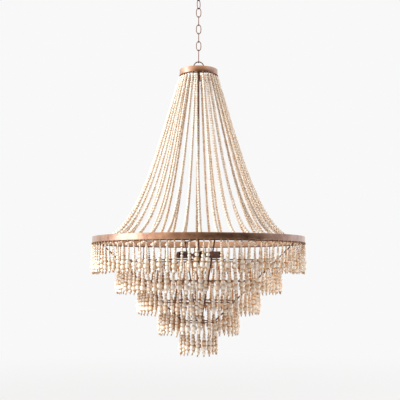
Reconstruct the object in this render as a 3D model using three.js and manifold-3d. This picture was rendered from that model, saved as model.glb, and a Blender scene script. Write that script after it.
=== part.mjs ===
// A beaded chandelier that hangs on a chain: a ceiling canopy, eight chain links, a cap with
// strands of wooden beads draped down to a wide metal band, and five tiers of hanging strands
// on wire hoops that step inwards below it, round a cluster of candelabra lamp sockets.
// Millimetres, +Z up. The origin is the middle of the ceiling face, and azimuths are measured
// from the front (-Y) towards the right (+X).
import * as THREE from 'three';
import { mergeVertices } from 'three/addons/utils/BufferGeometryUtils.js';
import Module from 'manifold-3d';

const wasm = await Module();
wasm.setup();

// Room left between two pieces that touch
const fit = 0.3;
// How far a cutting tool runs past the face that it cuts
const overrun = 1;

// Facets round each kind of piece
const wireSides = 6;
const rodSides = 8;
const boltSides = 10;
const socketSides = 10;
const shellSides = 8;
const strandSides = 3;
const canopySides = 20;
const capSides = 26;
const bandSides = 60;
const linkSteps = 12;
const arcSteps = 8;
const drapeSteps = 6;

// Ceiling canopy: a spun dish with an upright edge, with room round the strap
const canopyRoom = 11;
const canopyDepth = 28;
const canopyEdgeHeight = 7;
const canopyFlatDiameter = 52;
const canopyWall = 1.6;

// Flat bar that is screwed to the ceiling box, with a blind boss for the loop's shank
const strapSlotSpacing = 84;
const strapEndMargin = 11;
const strapWidth = 22;
const strapThickness = 3;
const strapSlotLength = 11;
const strapSlotWidth = 5.5;
const strapBossDiameter = 17;
const strapBossHeight = 9;

// Threaded loop that carries the chain, and the ring nut that holds the canopy up
const shankDiameter = 10;
const shankGrip = 7;
const loopRingDiameter = 34;
const loopWire = 4;
const loopTurnDeg = 50;
const collarDiameter = 24;
const collarHeight = 8;
const collarBevel = 1.5;
const collarGap = 1.5;

// Chain: seven oval links, and a longer one that hooks the cap's loop
const chainWire = 3;
const linkLength = 38;
const linkWidth = 20;
const longLinkLength = 52;
const linkCount = 8;
const twistedLinks = 2;
const twistDeg = -40;

// Cap: a short band with a crossbar, and an inverted U to hang it by
const capDiameter = 140;
const capHeight = 20.5;
const bandWall = 2;
const capLoopWidth = 40;
const capLoopRise = 34;
const crossbarWidth = 16;
const crossbarThickness = 4;
const crossbarInset = 2.5;
const loopFootDrop = 3;

// Centre rod, with its nuts and sleeves
const stemDiameter = 6;
const stemTopRise = 2.5;
const stemTailDrop = 20;
const nutDiameter = 12;
const nutHeight = 6;
const couplingDiameter = 10;
const couplingLength = 29;
const spokeCollarDiameter = 20;
const spokeCollarHeight = 12;

// Main band: a wide strip ring
const mainBandDiameter = 762;
const mainBandHeight = 21.5;
const coneDrop = 595;

// Hoops of wire, those under the two bands a little wider than the band, and the strands that
// hang from them, widest tier first
const hoopWire = 4;
const hoopProud = 1.5;
const topTierStrands = 100;
const strandsPerTierStep = 20;
const topTierLength = 110;
const tierLength = 120;
const lowestTierRadius = 65;
const secondTierDrop = 63;
const tierDrop = 72.2;
const hoopFacets = [50, 40, 20, 20, 20];

// A hanging strand: a thread, a run of small beads, then the large beads above its tip
const threadRadius = 1.5;
const smallBeadRadius = 5.6;
const largeBeadRadius = 9;
const smallBeadShare = 0.72;
const largeBeadShare = 0.88;

// Draped strands: a slack string from the cap's hoop to the band, with graded beads
const drapeCount = 36;
const drapeTurnDeg = 1.2;
const drapeTopRadius = 3.4;
const drapeLowRadius = 6.4;
const drapeEndRadius = 1.8;
const drapeEndRise = 5;
const drapeEndGap = 0.8;
const drapeStartBendShares = [0.3, 0.5];
const drapeEndBendShares = [0.504, 1];

// Four spokes under the band's top edge, and four stays that carry the lower hoops
const rodDiameter = 5;
const armCount = 4;
const armTurnDeg = 8.5;
const spokeInset = 4;
const stayTail = 6;

// Lamp cluster: a hub with six arms, each with a candelabra socket
const hubDrop = 63;
const hubDiameter = 26;
const hubHeight = 24;
const hubBevel = 4;
const lampCount = 6;
const armTubeDiameter = 7;
const socketStart = 38;
const socketLength = 44;
const socketDiameter = 24.4;
const socketBackDiameter = 20;
const socketBackBevel = 4;
const socketRim = 1.8;
const socketMouthDepth = 10;
const socketFloor = 6;
const armGrip = 4;
const shellDiameter = 13.2;
const shellWall = 0.7;
const shellProud = 2.5;
const shellLift = 1.6;
const contactDiameter = 9.6;
const contactThickness = 1;

const degree = Math.PI / 180;

const strapLength = strapSlotSpacing + 2 * strapEndMargin;
const canopyDiameter = strapLength + 2 * canopyRoom;
const underHoopInset = hoopWire / 2 - hoopProud;

const bronze = new THREE.MeshStandardMaterial({ color: '#4a2f24', roughness: 0.45, metalness: 0.8 });
const copper = new THREE.MeshStandardMaterial({ color: '#b98a6b', roughness: 0.38, metalness: 0.9 });
const wood = new THREE.MeshStandardMaterial({ color: '#dcc6ad', roughness: 0.7, metalness: 0 });
const phenolic = new THREE.MeshStandardMaterial({ color: '#52302a', roughness: 0.5, metalness: 0 });
const brass = new THREE.MeshStandardMaterial({ color: '#b8944f', roughness: 0.35, metalness: 1 });
const zinc = new THREE.MeshStandardMaterial({ color: '#a9a9a6', roughness: 0.5, metalness: 0.9 });

// How far the flats of a many-sided piece lie in from its corners, as a share of its radius
const flatShare = (sides) => Math.cos(Math.PI / sides);

// The corner radius of a many-sided hole whose flats clear a round piece
const holeRadius = (pieceDiameter, sides) => (pieceDiameter / 2 + fit) / flatShare(sides);

// The point at a radius, an azimuth and a height
function polar(radius, azimuthDeg, z) {
  const angle = azimuthDeg * degree;
  return new THREE.Vector3(radius * Math.sin(angle), -radius * Math.cos(angle), z);
}

// A closed outline, listed anticlockwise with radius to the right, revolved about Z
function turnedRing(outline, sides, startDeg = 0) {
  const points = [...outline, outline[0]].map(([radius, z]) => new THREE.Vector2(radius, z));
  return new THREE.LatheGeometry(points, sides, startDeg * degree).rotateX(Math.PI / 2);
}

// A profile that starts and ends on the axis, listed from the bottom up, revolved about Z
function turned(profile, sides, startDeg = 0) {
  const points = profile.map(([radius, z]) => new THREE.Vector2(radius, z));
  return new THREE.LatheGeometry(points, sides, startDeg * degree).rotateX(Math.PI / 2);
}

// A plain upright disc or rod between two heights
function disc(radius, low, high, sides, startDeg = 0) {
  return turned([[0, low], [radius, low], [radius, high], [0, high]], sides, startDeg);
}

// A tube along a flat path: rows of points round each bend, joined into one closed skin.
// across is a unit vector square to the path's plane, and radiusAt gives each row's radius.
function tube(path, across, radiusAt, sides) {
  const positions = [];
  const index = [];
  path.forEach((point, row) => {
    const before = point.clone().sub(path[Math.max(row - 1, 0)]);
    const after = path[Math.min(row + 1, path.length - 1)].clone().sub(point);
    const incoming = (row === 0 ? after : before).clone().normalize();
    const outgoing = (row === path.length - 1 ? before : after).clone().normalize();
    const along = incoming.clone().add(outgoing).normalize();
    const upright = along.clone().cross(across);
    const mitre = 1 / along.dot(outgoing);
    for (let side = 0; side < sides; side += 1) {
      const angle = (2 * Math.PI * side) / sides;
      const corner = point.clone()
        .addScaledVector(across, radiusAt(row) * Math.cos(angle))
        .addScaledVector(upright, radiusAt(row) * mitre * Math.sin(angle));
      positions.push(...corner.toArray());
    }
  });
  const rows = path.length;
  for (let row = 0; row + 1 < rows; row += 1) {
    for (let side = 0; side < sides; side += 1) {
      const here = row * sides;
      const next = (side + 1) % sides;
      index.push(here + side, here + next, here + sides + next);
      index.push(here + side, here + sides + next, here + sides + side);
    }
  }
  const last = (rows - 1) * sides;
  for (let side = 1; side + 1 < sides; side += 1) {
    index.push(0, side + 1, side);
    index.push(last, last + side, last + side + 1);
  }
  const geometry = new THREE.BufferGeometry();
  geometry.setAttribute('position', new THREE.Float32BufferAttribute(positions, 3));
  geometry.setIndex(index);
  return geometry;
}

// A straight round rod between two points, level or slanting
function rod(from, to, diameter, sides) {
  const along = to.clone().sub(from);
  const across = new THREE.Vector3(along.y, -along.x, 0).normalize();
  return tube([from, to], across, () => diameter / 2, sides);
}

// A three.js geometry as a solid that can be joined and cut
function toSolid(geometry) {
  const bare = geometry.clone();
  bare.deleteAttribute('normal');
  bare.deleteAttribute('uv');
  const merged = mergeVertices(bare);
  const corners = merged.index.array;
  const triVerts = [];
  for (let at = 0; at < corners.length; at += 3) {
    const [a, b, c] = corners.slice(at, at + 3);
    if (a !== b && b !== c && c !== a) triVerts.push(a, b, c);
  }
  return new wasm.Manifold(new wasm.Mesh({
    numProp: 3,
    vertProperties: new Float32Array(merged.attributes.position.array),
    triVerts: new Uint32Array(triVerts),
  }));
}

// A solid back as a three.js geometry
function toGeometry(solid) {
  const mesh = solid.getMesh();
  const geometry = new THREE.BufferGeometry();
  geometry.setAttribute('position', new THREE.BufferAttribute(mesh.vertProperties, 3));
  geometry.setIndex(new THREE.BufferAttribute(mesh.triVerts, 1));
  geometry.computeVertexNormals();
  return geometry;
}

// Several geometries joined into one
function joined(...geometries) {
  return toGeometry(wasm.Manifold.union(geometries.map(toSolid)));
}

// A geometry with others cut out of it
function cut(geometry, ...tools) {
  return toGeometry(tools.reduce((left, tool) => left.subtract(toSolid(tool)), toSolid(geometry)));
}

const chandelier = new THREE.Group();

// Adds one named piece to a group
function add(group, name, geometry, material) {
  const mesh = new THREE.Mesh(geometry, material);
  mesh.name = name;
  group.add(mesh);
  return mesh;
}

// Ceiling fitting

const ceilingFitting = new THREE.Group();
chandelier.add(ceilingFitting);

// The dish's curved side: a quarter of an ellipse from the upright edge in to the flat
function canopySide(wallInset) {
  const flatRadius = canopyFlatDiameter / 2;
  const reach = canopyDiameter / 2 - flatRadius - wallInset;
  const fall = canopyDepth - canopyEdgeHeight - wallInset;
  const points = [];
  for (let step = 0; step <= arcSteps / 2; step += 1) {
    const angle = (Math.PI * step) / arcSteps;
    points.push([flatRadius + reach * Math.sin(angle), -canopyDepth + wallInset
      + fall * (1 - Math.cos(angle))]);
  }
  return points;
}

const canopyHole = holeRadius(shankDiameter, canopySides);
add(ceilingFitting, 'ceiling_canopy', turnedRing([
  [canopyHole, -canopyDepth],
  ...canopySide(0),
  [canopyDiameter / 2, 0],
  [canopyDiameter / 2 - canopyWall, 0],
  ...canopySide(canopyWall).reverse(),
  [canopyHole, -canopyDepth + canopyWall],
], canopySides), copper);

// A round-ended slot, as an outline's hole
function slotOutline(centreX) {
  const slot = new THREE.Path();
  const half = (strapSlotLength - strapSlotWidth) / 2;
  slot.absarc(centreX + half, 0, strapSlotWidth / 2, -Math.PI / 2, Math.PI / 2);
  slot.absarc(centreX - half, 0, strapSlotWidth / 2, Math.PI / 2, 1.5 * Math.PI);
  return slot;
}

const strapOutline = new THREE.Shape();
strapOutline.absarc(strapLength / 2 - strapWidth / 2, 0, strapWidth / 2, -Math.PI / 2, Math.PI / 2);
strapOutline.absarc(-strapLength / 2 + strapWidth / 2, 0, strapWidth / 2, Math.PI / 2, 1.5 * Math.PI);
strapOutline.holes.push(slotOutline(strapSlotSpacing / 2), slotOutline(-strapSlotSpacing / 2));
const strapBar = new THREE.ExtrudeGeometry(strapOutline, {
  depth: strapThickness, bevelEnabled: false, curveSegments: arcSteps / 2,
});
strapBar.translate(0, 0, -strapThickness);
const bossBottom = -strapThickness - strapBossHeight;
const shankTop = bossBottom + shankGrip;
add(ceilingFitting, 'mounting_strap', cut(
  joined(strapBar, disc(strapBossDiameter / 2, bossBottom, -strapThickness / 2, boltSides)),
  disc(holeRadius(shankDiameter, boltSides), bossBottom - overrun, shankTop + fit, boltSides),
), zinc);

const collarTop = -canopyDepth - fit;
const collarBottom = collarTop - collarHeight;
const collarHole = holeRadius(shankDiameter, boltSides);
add(ceilingFitting, 'canopy_collar', turnedRing([
  [collarHole, collarBottom],
  [collarDiameter / 2 - collarBevel, collarBottom],
  [collarDiameter / 2, collarBottom + collarBevel],
  [collarDiameter / 2, collarTop],
  [collarHole, collarTop],
], boltSides), copper);

const loopRingTop = collarBottom - collarGap;
const loopRingCentre = loopRingTop - loopRingDiameter / 2;
const loopRing = new THREE.TorusGeometry((loopRingDiameter - loopWire) / 2, loopWire / 2,
  wireSides, linkSteps);
loopRing.rotateZ(Math.PI / linkSteps).rotateX(Math.PI / 2);
loopRing.scale(1 / flatShare(linkSteps), 1, 1 / flatShare(linkSteps));
loopRing.translate(0, 0, loopRingCentre);
const canopyLoop = add(ceilingFitting, 'canopy_loop', joined(
  loopRing,
  disc(shankDiameter / 2, loopRingTop - loopWire / 2, shankTop, rodSides),
), bronze);
canopyLoop.rotation.z = loopTurnDeg * degree;

// Chain, from the canopy's loop down

// One oval link of round wire, upright in the XZ plane: a ring whose halves are drawn apart
function ovalLink(length) {
  const bendRadius = (linkWidth - chainWire) / 2 / flatShare(linkSteps);
  const link = new THREE.TorusGeometry(bendRadius, chainWire / 2, wireSides, linkSteps);
  link.rotateZ(Math.PI / linkSteps);
  const position = link.attributes.position;
  for (let at = 0; at < position.count; at += 1) {
    const y = position.getY(at);
    position.setY(at, y + (Math.sign(y) * (length - linkWidth)) / 2);
  }
  return link.rotateX(Math.PI / 2);
}

const chain = new THREE.Group();
chandelier.add(chain);
let hookedWire = loopWire;
let hookedZ = loopRingCentre - (loopRingDiameter - loopWire) / 2;
for (let number = linkCount; number >= 1; number -= 1) {
  const length = number === 1 ? longLinkLength : linkLength;
  const topWireZ = hookedZ + (hookedWire + chainWire) / 2 + fit;
  const link = add(chain, `chain_link_${number}`, ovalLink(length), bronze);
  link.position.z = topWireZ - (length - chainWire) / 2;
  const turn = number % 2 === 0 ? 0 : 90;
  link.rotation.z = (turn + (number > linkCount - twistedLinks ? twistDeg : 0)) * degree;
  hookedZ = topWireZ - (length - chainWire);
  hookedWire = chainWire;
}

// Cap

const cap = new THREE.Group();
chandelier.add(cap);
const capLoopWireZ = hookedZ + (hookedWire + loopWire) / 2 + fit;
const capTop = capLoopWireZ + loopWire / 2 - capLoopRise;
const capBottom = capTop - capHeight;
const capInnerRadius = capDiameter / 2 - bandWall;
const capHoopRadius = capDiameter / 2 - underHoopInset;
const capHoopZ = capBottom - fit - hoopWire / 2;
const crossbarTop = capTop - crossbarInset;
const crossbarBottom = crossbarTop - crossbarThickness;

add(cap, 'cap_band', turnedRing([
  [capInnerRadius, capBottom],
  [capDiameter / 2, capBottom],
  [capDiameter / 2, capTop],
  [capInnerRadius, capTop],
], capSides), copper);

const capLoopReach = (capLoopWidth - loopWire) / 2;
const capLoopFoot = crossbarBottom - loopFootDrop;
const capLoopPath = [new THREE.Vector3(-capLoopReach, 0, capLoopFoot)];
for (let step = 0; step <= arcSteps; step += 1) {
  const angle = Math.PI * (1 - step / arcSteps);
  const x = capLoopReach * Math.cos(angle);
  capLoopPath.push(new THREE.Vector3(x, 0, capLoopWireZ + capLoopReach * (Math.sin(angle) - 1)));
}
capLoopPath.push(new THREE.Vector3(capLoopReach, 0, capLoopFoot));
add(cap, 'cap_loop', tube(capLoopPath, new THREE.Vector3(0, 1, 0), () => loopWire / 2, wireSides),
  bronze);

// The crossbar's corners reach the cap's inner flats
const crossbarCorner = capInnerRadius * flatShare(capSides) - fit;
const crossbarReach = Math.sqrt(crossbarCorner ** 2 - (crossbarWidth / 2) ** 2);
const crossbar = new THREE.BoxGeometry(2 * crossbarReach, crossbarWidth, crossbarThickness);
crossbar.translate(0, 0, crossbarBottom + crossbarThickness / 2);
const legHoles = [-capLoopReach, capLoopReach].map((x) => disc(
  holeRadius(loopWire, rodSides), crossbarBottom - overrun, crossbarTop + overrun, rodSides,
).translate(x, 0, 0));
const stemHoleRadius = holeRadius(stemDiameter, boltSides);
const stemHole = disc(stemHoleRadius, crossbarBottom - overrun, crossbarTop + overrun, boltSides);
add(cap, 'cap_crossbar', cut(crossbar, stemHole, ...legHoles), bronze);

// Main band and its frame

const frame = new THREE.Group();
chandelier.add(frame);
const bandTop = capBottom - coneDrop;
const bandBottom = bandTop - mainBandHeight;
const bandInnerRadius = mainBandDiameter / 2 - bandWall;
add(frame, 'main_band', turnedRing([
  [bandInnerRadius, bandBottom],
  [mainBandDiameter / 2, bandBottom],
  [mainBandDiameter / 2, bandTop],
  [bandInnerRadius, bandTop],
], bandSides, armTurnDeg), copper);

const spokeZ = bandTop - spokeInset;
const spokeCollarTop = spokeZ + spokeCollarHeight / 2;
const hubCentreZ = bandBottom + mainBandHeight - hubDrop;
const hubBottom = hubCentreZ - hubHeight / 2;
const hubNutBottom = hubBottom - fit - nutHeight;
const stemTop = crossbarTop + fit + nutHeight + stemTopRise;
add(frame, 'centre_stem', disc(stemDiameter / 2, hubNutBottom - stemTailDrop, stemTop, rodSides),
  bronze);

// A ring round the centre stem
function sleeve(diameter, bottom, height, sides) {
  const hole = holeRadius(stemDiameter, sides);
  return turnedRing([
    [hole, bottom],
    [diameter / 2, bottom],
    [diameter / 2, bottom + height],
    [hole, bottom + height],
  ], sides, armTurnDeg);
}

add(frame, 'stem_top_nut', sleeve(nutDiameter, crossbarTop + fit, nutHeight, wireSides), bronze);
add(frame, 'stem_coupling',
  sleeve(couplingDiameter, crossbarBottom - fit - couplingLength, couplingLength, boltSides), bronze);
add(frame, 'spoke_collar',
  sleeve(spokeCollarDiameter, spokeCollarTop - spokeCollarHeight, spokeCollarHeight, boltSides),
  bronze);
add(frame, 'hub_nut', sleeve(nutDiameter, hubNutBottom, nutHeight, wireSides), bronze);

// The tiers: the first hoop is under the band. The others step inwards below it, on a straight
// line from the band's top edge to the lowest hoop.
const secondTierZ = bandBottom - secondTierDrop;
const lowestTierZ = secondTierZ - tierDrop * (hoopFacets.length - 2);
const tierLean = (mainBandDiameter / 2 - lowestTierRadius) / (bandTop - lowestTierZ);
const tiers = hoopFacets.map((facets, index) => {
  const z = secondTierZ - tierDrop * (index - 1);
  return {
    facets,
    radius: index === 0
      ? mainBandDiameter / 2 - underHoopInset
      : lowestTierRadius + tierLean * (z - lowestTierZ),
    z: index === 0 ? bandBottom - fit - hoopWire / 2 : z,
    strands: topTierStrands - strandsPerTierStep * index,
    length: index === 0 ? topTierLength : tierLength,
  };
});

// A hoop of square wire
function hoop(radius, z, sides, startDeg) {
  const half = hoopWire / 2;
  return turnedRing([
    [radius - half, z - half],
    [radius + half, z - half],
    [radius + half, z + half],
    [radius - half, z + half],
  ], sides, startDeg);
}

// One hanging strand: it widens from the thread to the large beads above its tip
function hangingStrand(length, azimuthDeg) {
  return turned([
    [0, -length],
    [largeBeadRadius, -length * largeBeadShare],
    [smallBeadRadius, -length * smallBeadShare],
    [threadRadius, 0],
    [0, 0],
  ], strandSides, azimuthDeg);
}

// Each hoop has a corner at every stay, and strands at even steps between the stays
tiers.forEach((tier, tierIndex) => {
  const pitchDeg = 360 / tier.strands;
  const perFacet = tier.strands / tier.facets;
  const pieces = [hoop(tier.radius, tier.z, tier.facets, armTurnDeg)];
  for (let index = 0; index < tier.strands; index += 1) {
    const azimuth = armTurnDeg + pitchDeg * (index + 1 / 2);
    const offMiddle = (index % perFacet) + 1 / 2 - perFacet / 2;
    const seatRadius = (tier.radius * flatShare(tier.facets)) / Math.cos(offMiddle * pitchDeg * degree);
    const seat = polar(seatRadius, azimuth, tier.z);
    pieces.push(hangingStrand(tier.length, azimuth).translate(seat.x, seat.y, seat.z));
  }
  add(frame, `tier_${tierIndex + 1}_hoop_and_strands`, joined(...pieces), wood);
});

// The cap's hoop with the strands that drape from it to the inside of the main band. Each one
// follows a Bezier curve, drawn in the upright plane of its azimuth.
const drapePitchDeg = 360 / drapeCount;
const drapeStart = [(capHoopRadius - hoopWire / 2) * flatShare(drapeCount), capHoopZ];
const drapeEnd = [
  bandInnerRadius * flatShare(bandSides) - drapeEndGap,
  bandBottom + drapeEndRise,
];

function drapePoint(azimuthDeg, shares) {
  const radius = drapeStart[0] + (drapeEnd[0] - drapeStart[0]) * shares[0];
  return polar(radius, azimuthDeg, drapeStart[1] + (drapeEnd[1] - drapeStart[1]) * shares[1]);
}

function drapedStrand(azimuthDeg) {
  const curve = new THREE.CubicBezierCurve3(
    drapePoint(azimuthDeg, [0, 0]),
    drapePoint(azimuthDeg, drapeStartBendShares),
    drapePoint(azimuthDeg, drapeEndBendShares),
    drapePoint(azimuthDeg, [1, 1]),
  );
  const radiusAt = (row) => {
    if (row === 0) return threadRadius;
    if (row === drapeSteps) return drapeEndRadius;
    return THREE.MathUtils.lerp(drapeTopRadius, drapeLowRadius, (row - 1) / (drapeSteps - 2));
  };
  return tube(curve.getPoints(drapeSteps), polar(1, azimuthDeg + 90, 0), radiusAt, strandSides);
}

const drapes = [hoop(capHoopRadius, capHoopZ, drapeCount, drapeTurnDeg + drapePitchDeg / 2)];
for (let index = 0; index < drapeCount; index += 1) {
  drapes.push(drapedStrand(drapeTurnDeg + drapePitchDeg * index));
}
add(cap, 'cap_hoop_and_drapes', joined(...drapes), wood);

// Spokes run from the collar on the stem to the inside of the main band. The stays run straight
// from under them, across the inner corners of the hoops, to just past the lowest hoop.
const stayDownwards = 1 / Math.hypot(1, tierLean);
const stayInwards = tierLean * stayDownwards;
const stayOffset = (hoopWire / 2) * (stayInwards + stayDownwards) + rodDiameter / 2 + fit;
const lastTier = tiers[tiers.length - 1];

// A point on a stay's middle line, at a distance down the slope from the lowest hoop
function stayPoint(azimuthDeg, past) {
  const radius = lastTier.radius - stayOffset * stayDownwards - past * stayInwards;
  const z = lastTier.z + stayOffset * stayInwards - past * stayDownwards;
  return polar(radius, azimuthDeg, z);
}

const stayTopZ = spokeZ - rodDiameter / 2 - fit - (rodDiameter / 2) * stayInwards;
const stayRise = (stayTopZ - lastTier.z - stayOffset * stayInwards) / stayDownwards;
for (let index = 0; index < armCount; index += 1) {
  const azimuth = armTurnDeg + (360 * index) / armCount;
  const inner = spokeCollarDiameter / 2 + fit;
  const outer = bandInnerRadius * flatShare(bandSides) - fit;
  add(frame, `spoke_${index + 1}`,
    rod(polar(inner, azimuth, spokeZ), polar(outer, azimuth, spokeZ), rodDiameter, rodSides), bronze);
  add(frame, `stay_rod_${index + 1}`,
    rod(stayPoint(azimuth, -stayRise), stayPoint(azimuth, stayTail), rodDiameter, rodSides), bronze);
}

// Lamp cluster

const lamps = new THREE.Group();
lamps.position.z = hubCentreZ;
chandelier.add(lamps);
const hubSpool = turnedRing([
  [stemHoleRadius, -hubHeight / 2],
  [hubDiameter / 2 - hubBevel, -hubHeight / 2],
  [hubDiameter / 2, -hubHeight / 2 + hubBevel],
  [hubDiameter / 2, hubHeight / 2 - hubBevel],
  [hubDiameter / 2 - hubBevel, hubHeight / 2],
  [stemHoleRadius, hubHeight / 2],
], boltSides, armTurnDeg);
const lampAzimuths = Array.from({ length: lampCount }, (_, index) => armTurnDeg
  + (360 * index) / lampCount);
const hubArms = lampAzimuths.map((azimuth) => rod(
  polar((stemHoleRadius + hubDiameter / 2) / 2, azimuth, 0),
  polar(socketStart + armGrip, azimuth, 0),
  armTubeDiameter, wireSides,
));
add(lamps, 'lamp_hub', joined(hubSpool, ...hubArms), bronze);

// A socket's housing along +Z, its back at zero: a cup with a rim round a narrower bore
const armHole = holeRadius(armTubeDiameter, socketSides);
const boreRadius = holeRadius(shellDiameter, socketSides);
const housing = [
  [armHole, 0],
  [socketBackDiameter / 2, 0],
  [socketDiameter / 2, socketBackBevel],
  [socketDiameter / 2, socketLength],
  [socketDiameter / 2 - socketRim, socketLength],
  [socketDiameter / 2 - socketRim, socketLength - socketMouthDepth],
  [boreRadius, socketLength - socketMouthDepth],
  [boreRadius, socketFloor],
  [armHole, socketFloor],
];

// The brass screw shell, standing on a lift inside the bore
const shellBottom = socketFloor + shellLift;
const shellTop = socketLength - socketMouthDepth + shellProud;
const screwShell = [
  [shellDiameter / 2 - shellWall, shellBottom],
  [shellDiameter / 2, shellBottom],
  [shellDiameter / 2, shellTop],
  [shellDiameter / 2 - shellWall, shellTop],
];

lampAzimuths.forEach((azimuth, index) => {
  const lamp = new THREE.Group();
  lamp.position.copy(polar(socketStart, azimuth, 0));
  lamp.rotation.set(Math.PI / 2, 0, azimuth * degree, 'ZYX');
  lamps.add(lamp);
  const number = index + 1;
  add(lamp, `lamp_socket_${number}`, turnedRing(housing, socketSides), phenolic);
  add(lamp, `screw_shell_${number}`, turnedRing(screwShell, shellSides), brass);
  add(lamp, `centre_contact_${number}`,
    disc(contactDiameter / 2, socketFloor + fit, socketFloor + fit + contactThickness, wireSides),
    brass);
});

export default chandelier;
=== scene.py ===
"""The dressed beaded chandelier: wooden beads, brushed bands, wire hoops, chain and lamp sockets.

Every length is in metres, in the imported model's frame: the origin is the middle of the ceiling
face, +Z is up and -Y is the front. Azimuths are measured from the front towards +X.
"""

import logging
from dataclasses import dataclass, field
from enum import Enum
from typing import Iterable, Sequence

import bpy
import numpy as np
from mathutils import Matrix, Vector


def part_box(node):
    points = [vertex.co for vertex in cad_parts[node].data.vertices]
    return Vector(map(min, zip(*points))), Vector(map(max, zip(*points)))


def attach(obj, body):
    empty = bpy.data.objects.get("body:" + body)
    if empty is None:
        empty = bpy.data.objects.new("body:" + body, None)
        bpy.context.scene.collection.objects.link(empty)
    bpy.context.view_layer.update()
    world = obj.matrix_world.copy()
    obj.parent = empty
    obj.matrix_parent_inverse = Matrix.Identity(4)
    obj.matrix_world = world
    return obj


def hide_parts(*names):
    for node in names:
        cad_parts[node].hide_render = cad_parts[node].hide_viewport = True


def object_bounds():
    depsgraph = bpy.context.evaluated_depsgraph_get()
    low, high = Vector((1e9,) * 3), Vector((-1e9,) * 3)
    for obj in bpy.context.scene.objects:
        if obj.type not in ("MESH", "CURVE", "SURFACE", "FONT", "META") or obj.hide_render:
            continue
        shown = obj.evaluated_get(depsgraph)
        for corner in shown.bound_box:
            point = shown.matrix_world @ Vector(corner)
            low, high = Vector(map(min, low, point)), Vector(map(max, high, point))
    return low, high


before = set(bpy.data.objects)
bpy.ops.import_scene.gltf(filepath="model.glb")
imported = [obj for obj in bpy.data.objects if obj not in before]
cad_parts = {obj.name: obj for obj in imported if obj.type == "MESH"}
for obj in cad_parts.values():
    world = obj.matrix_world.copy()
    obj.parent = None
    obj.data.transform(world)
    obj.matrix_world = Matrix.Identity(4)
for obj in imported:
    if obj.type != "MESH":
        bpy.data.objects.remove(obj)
CAD_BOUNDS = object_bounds()

LOG = logging.getLogger("chandelier")
Array = np.ndarray
Socket = bpy.types.NodeSocket

MM = 0.001
UP = np.array([0.0, 0.0, 1.0])
FRAME_BODY = "chandelier_frame"
CEILING_BODY = "ceiling_fitting"
BACKDROP = "#f8f8f8"

# The CAD's own driving sizes, for the curves that a node's box doesn't give
BAND_RADIUS = 381 * MM
BAND_WALL = 2 * MM
CAP_RADIUS = 70 * MM
HOOP_WIRE = 2 * MM
HOOP_INSET = 0.5 * MM
CAP_HOOP_RADIUS = CAP_RADIUS - HOOP_INSET
LOWEST_TIER_RADIUS = 65 * MM
TIER_COUNT = 5
STAY_COUNT = 4
ARM_TURN_DEG = 8.5
DRAPE_COUNT = 36
DRAPE_TURN_DEG = 1.2
DRAPE_START_SHARES = (0.3, 0.5)
DRAPE_END_SHARES = (0.504, 1.0)
LAMP_COUNT = 6
SOCKET_START = 38 * MM

# A candelabra screw shell has ten threads to the inch
THREAD_PITCH = 2.54 * MM


class Slot(str, Enum):
    """The record's material slots."""

    COPPER = "copper"
    BRONZE = "bronze"
    ZINC = "zinc"
    WOOD = "wood"
    PHENOLIC = "phenolic"
    BRASS = "brass"


# ---------------------------------------------------------------- shapes


def unit(vectors: Array) -> Array:
    """Vectors drawn to a length of one along their last axis."""
    return vectors / np.linalg.norm(vectors, axis=-1, keepdims=True)


def turn(steps: int) -> Array:
    """Angles spaced evenly round a full turn, in radians."""
    return np.linspace(0, 2 * np.pi, steps, endpoint=False)


def outwards(azimuth_deg: Array | float) -> Array:
    """The level unit vectors at azimuths, with three numbers in the last axis."""
    angle = np.radians(np.asarray(azimuth_deg, float))
    return np.stack([np.sin(angle), -np.cos(angle), np.zeros_like(angle)], -1)


def axes_along(direction: Array) -> Array:
    """Directions for placed() that take Z to a direction.

    Args:
        direction: Where Z goes.

    Returns:
        X, Y and Z directions, one in each row.
    """
    z = unit(direction)
    x = unit(np.cross(UP if abs(z[2]) < 0.9 else np.array([1.0, 0, 0]), z))
    return np.stack([x, np.cross(z, x), z])


@dataclass
class Shape:
    """A closed mesh held as arrays.

    Args:
        points: The vertices, one row each.
        faces: Arrays of corner numbers, one array for each number of corners.
        uvs: For each array in faces, the pattern coordinates of its corners, in metres.
        marks: Extra values by name, one row for each vertex.
    """

    points: Array
    faces: list[Array]
    uvs: list[Array]
    marks: dict[str, Array] = field(default_factory=dict)

    def outward(self) -> "Shape":
        """Turn every face outwards, judged by the sign of the volume enclosed.

        Returns:
            The shape itself.
        """
        volume = 0.0
        for group in self.faces:
            corners = self.points[group]
            for k in range(1, group.shape[1] - 1):
                cross = np.cross(corners[:, k], corners[:, k + 1])
                volume += np.einsum("ij,ij->", corners[:, 0], cross)
        if volume < 0:
            self.faces = [group[:, ::-1] for group in self.faces]
            self.uvs = [uv[:, ::-1] for uv in self.uvs]
        return self

    def placed(self, origin: Array, axes: Array) -> "Shape":
        """A copy whose own origin and X, Y and Z directions (rows of axes) are the given ones."""
        return Shape(self.points @ axes + origin, self.faces, self.uvs, self.marks)


def merged(shapes: Sequence[Shape]) -> Shape:
    """Put several shapes with the same marks side by side in one.

    Args:
        shapes: The shapes.

    Returns:
        One shape that holds them all.
    """
    starts = np.cumsum([0] + [len(shape.points) for shape in shapes])
    return Shape(np.concatenate([shape.points for shape in shapes]),
                 [group + start for shape, start in zip(shapes, starts) for group in shape.faces],
                 [uv for shape in shapes for uv in shape.uvs],
                 {name: np.concatenate([shape.marks[name] for shape in shapes])
                  for name in shapes[0].marks})


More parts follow.
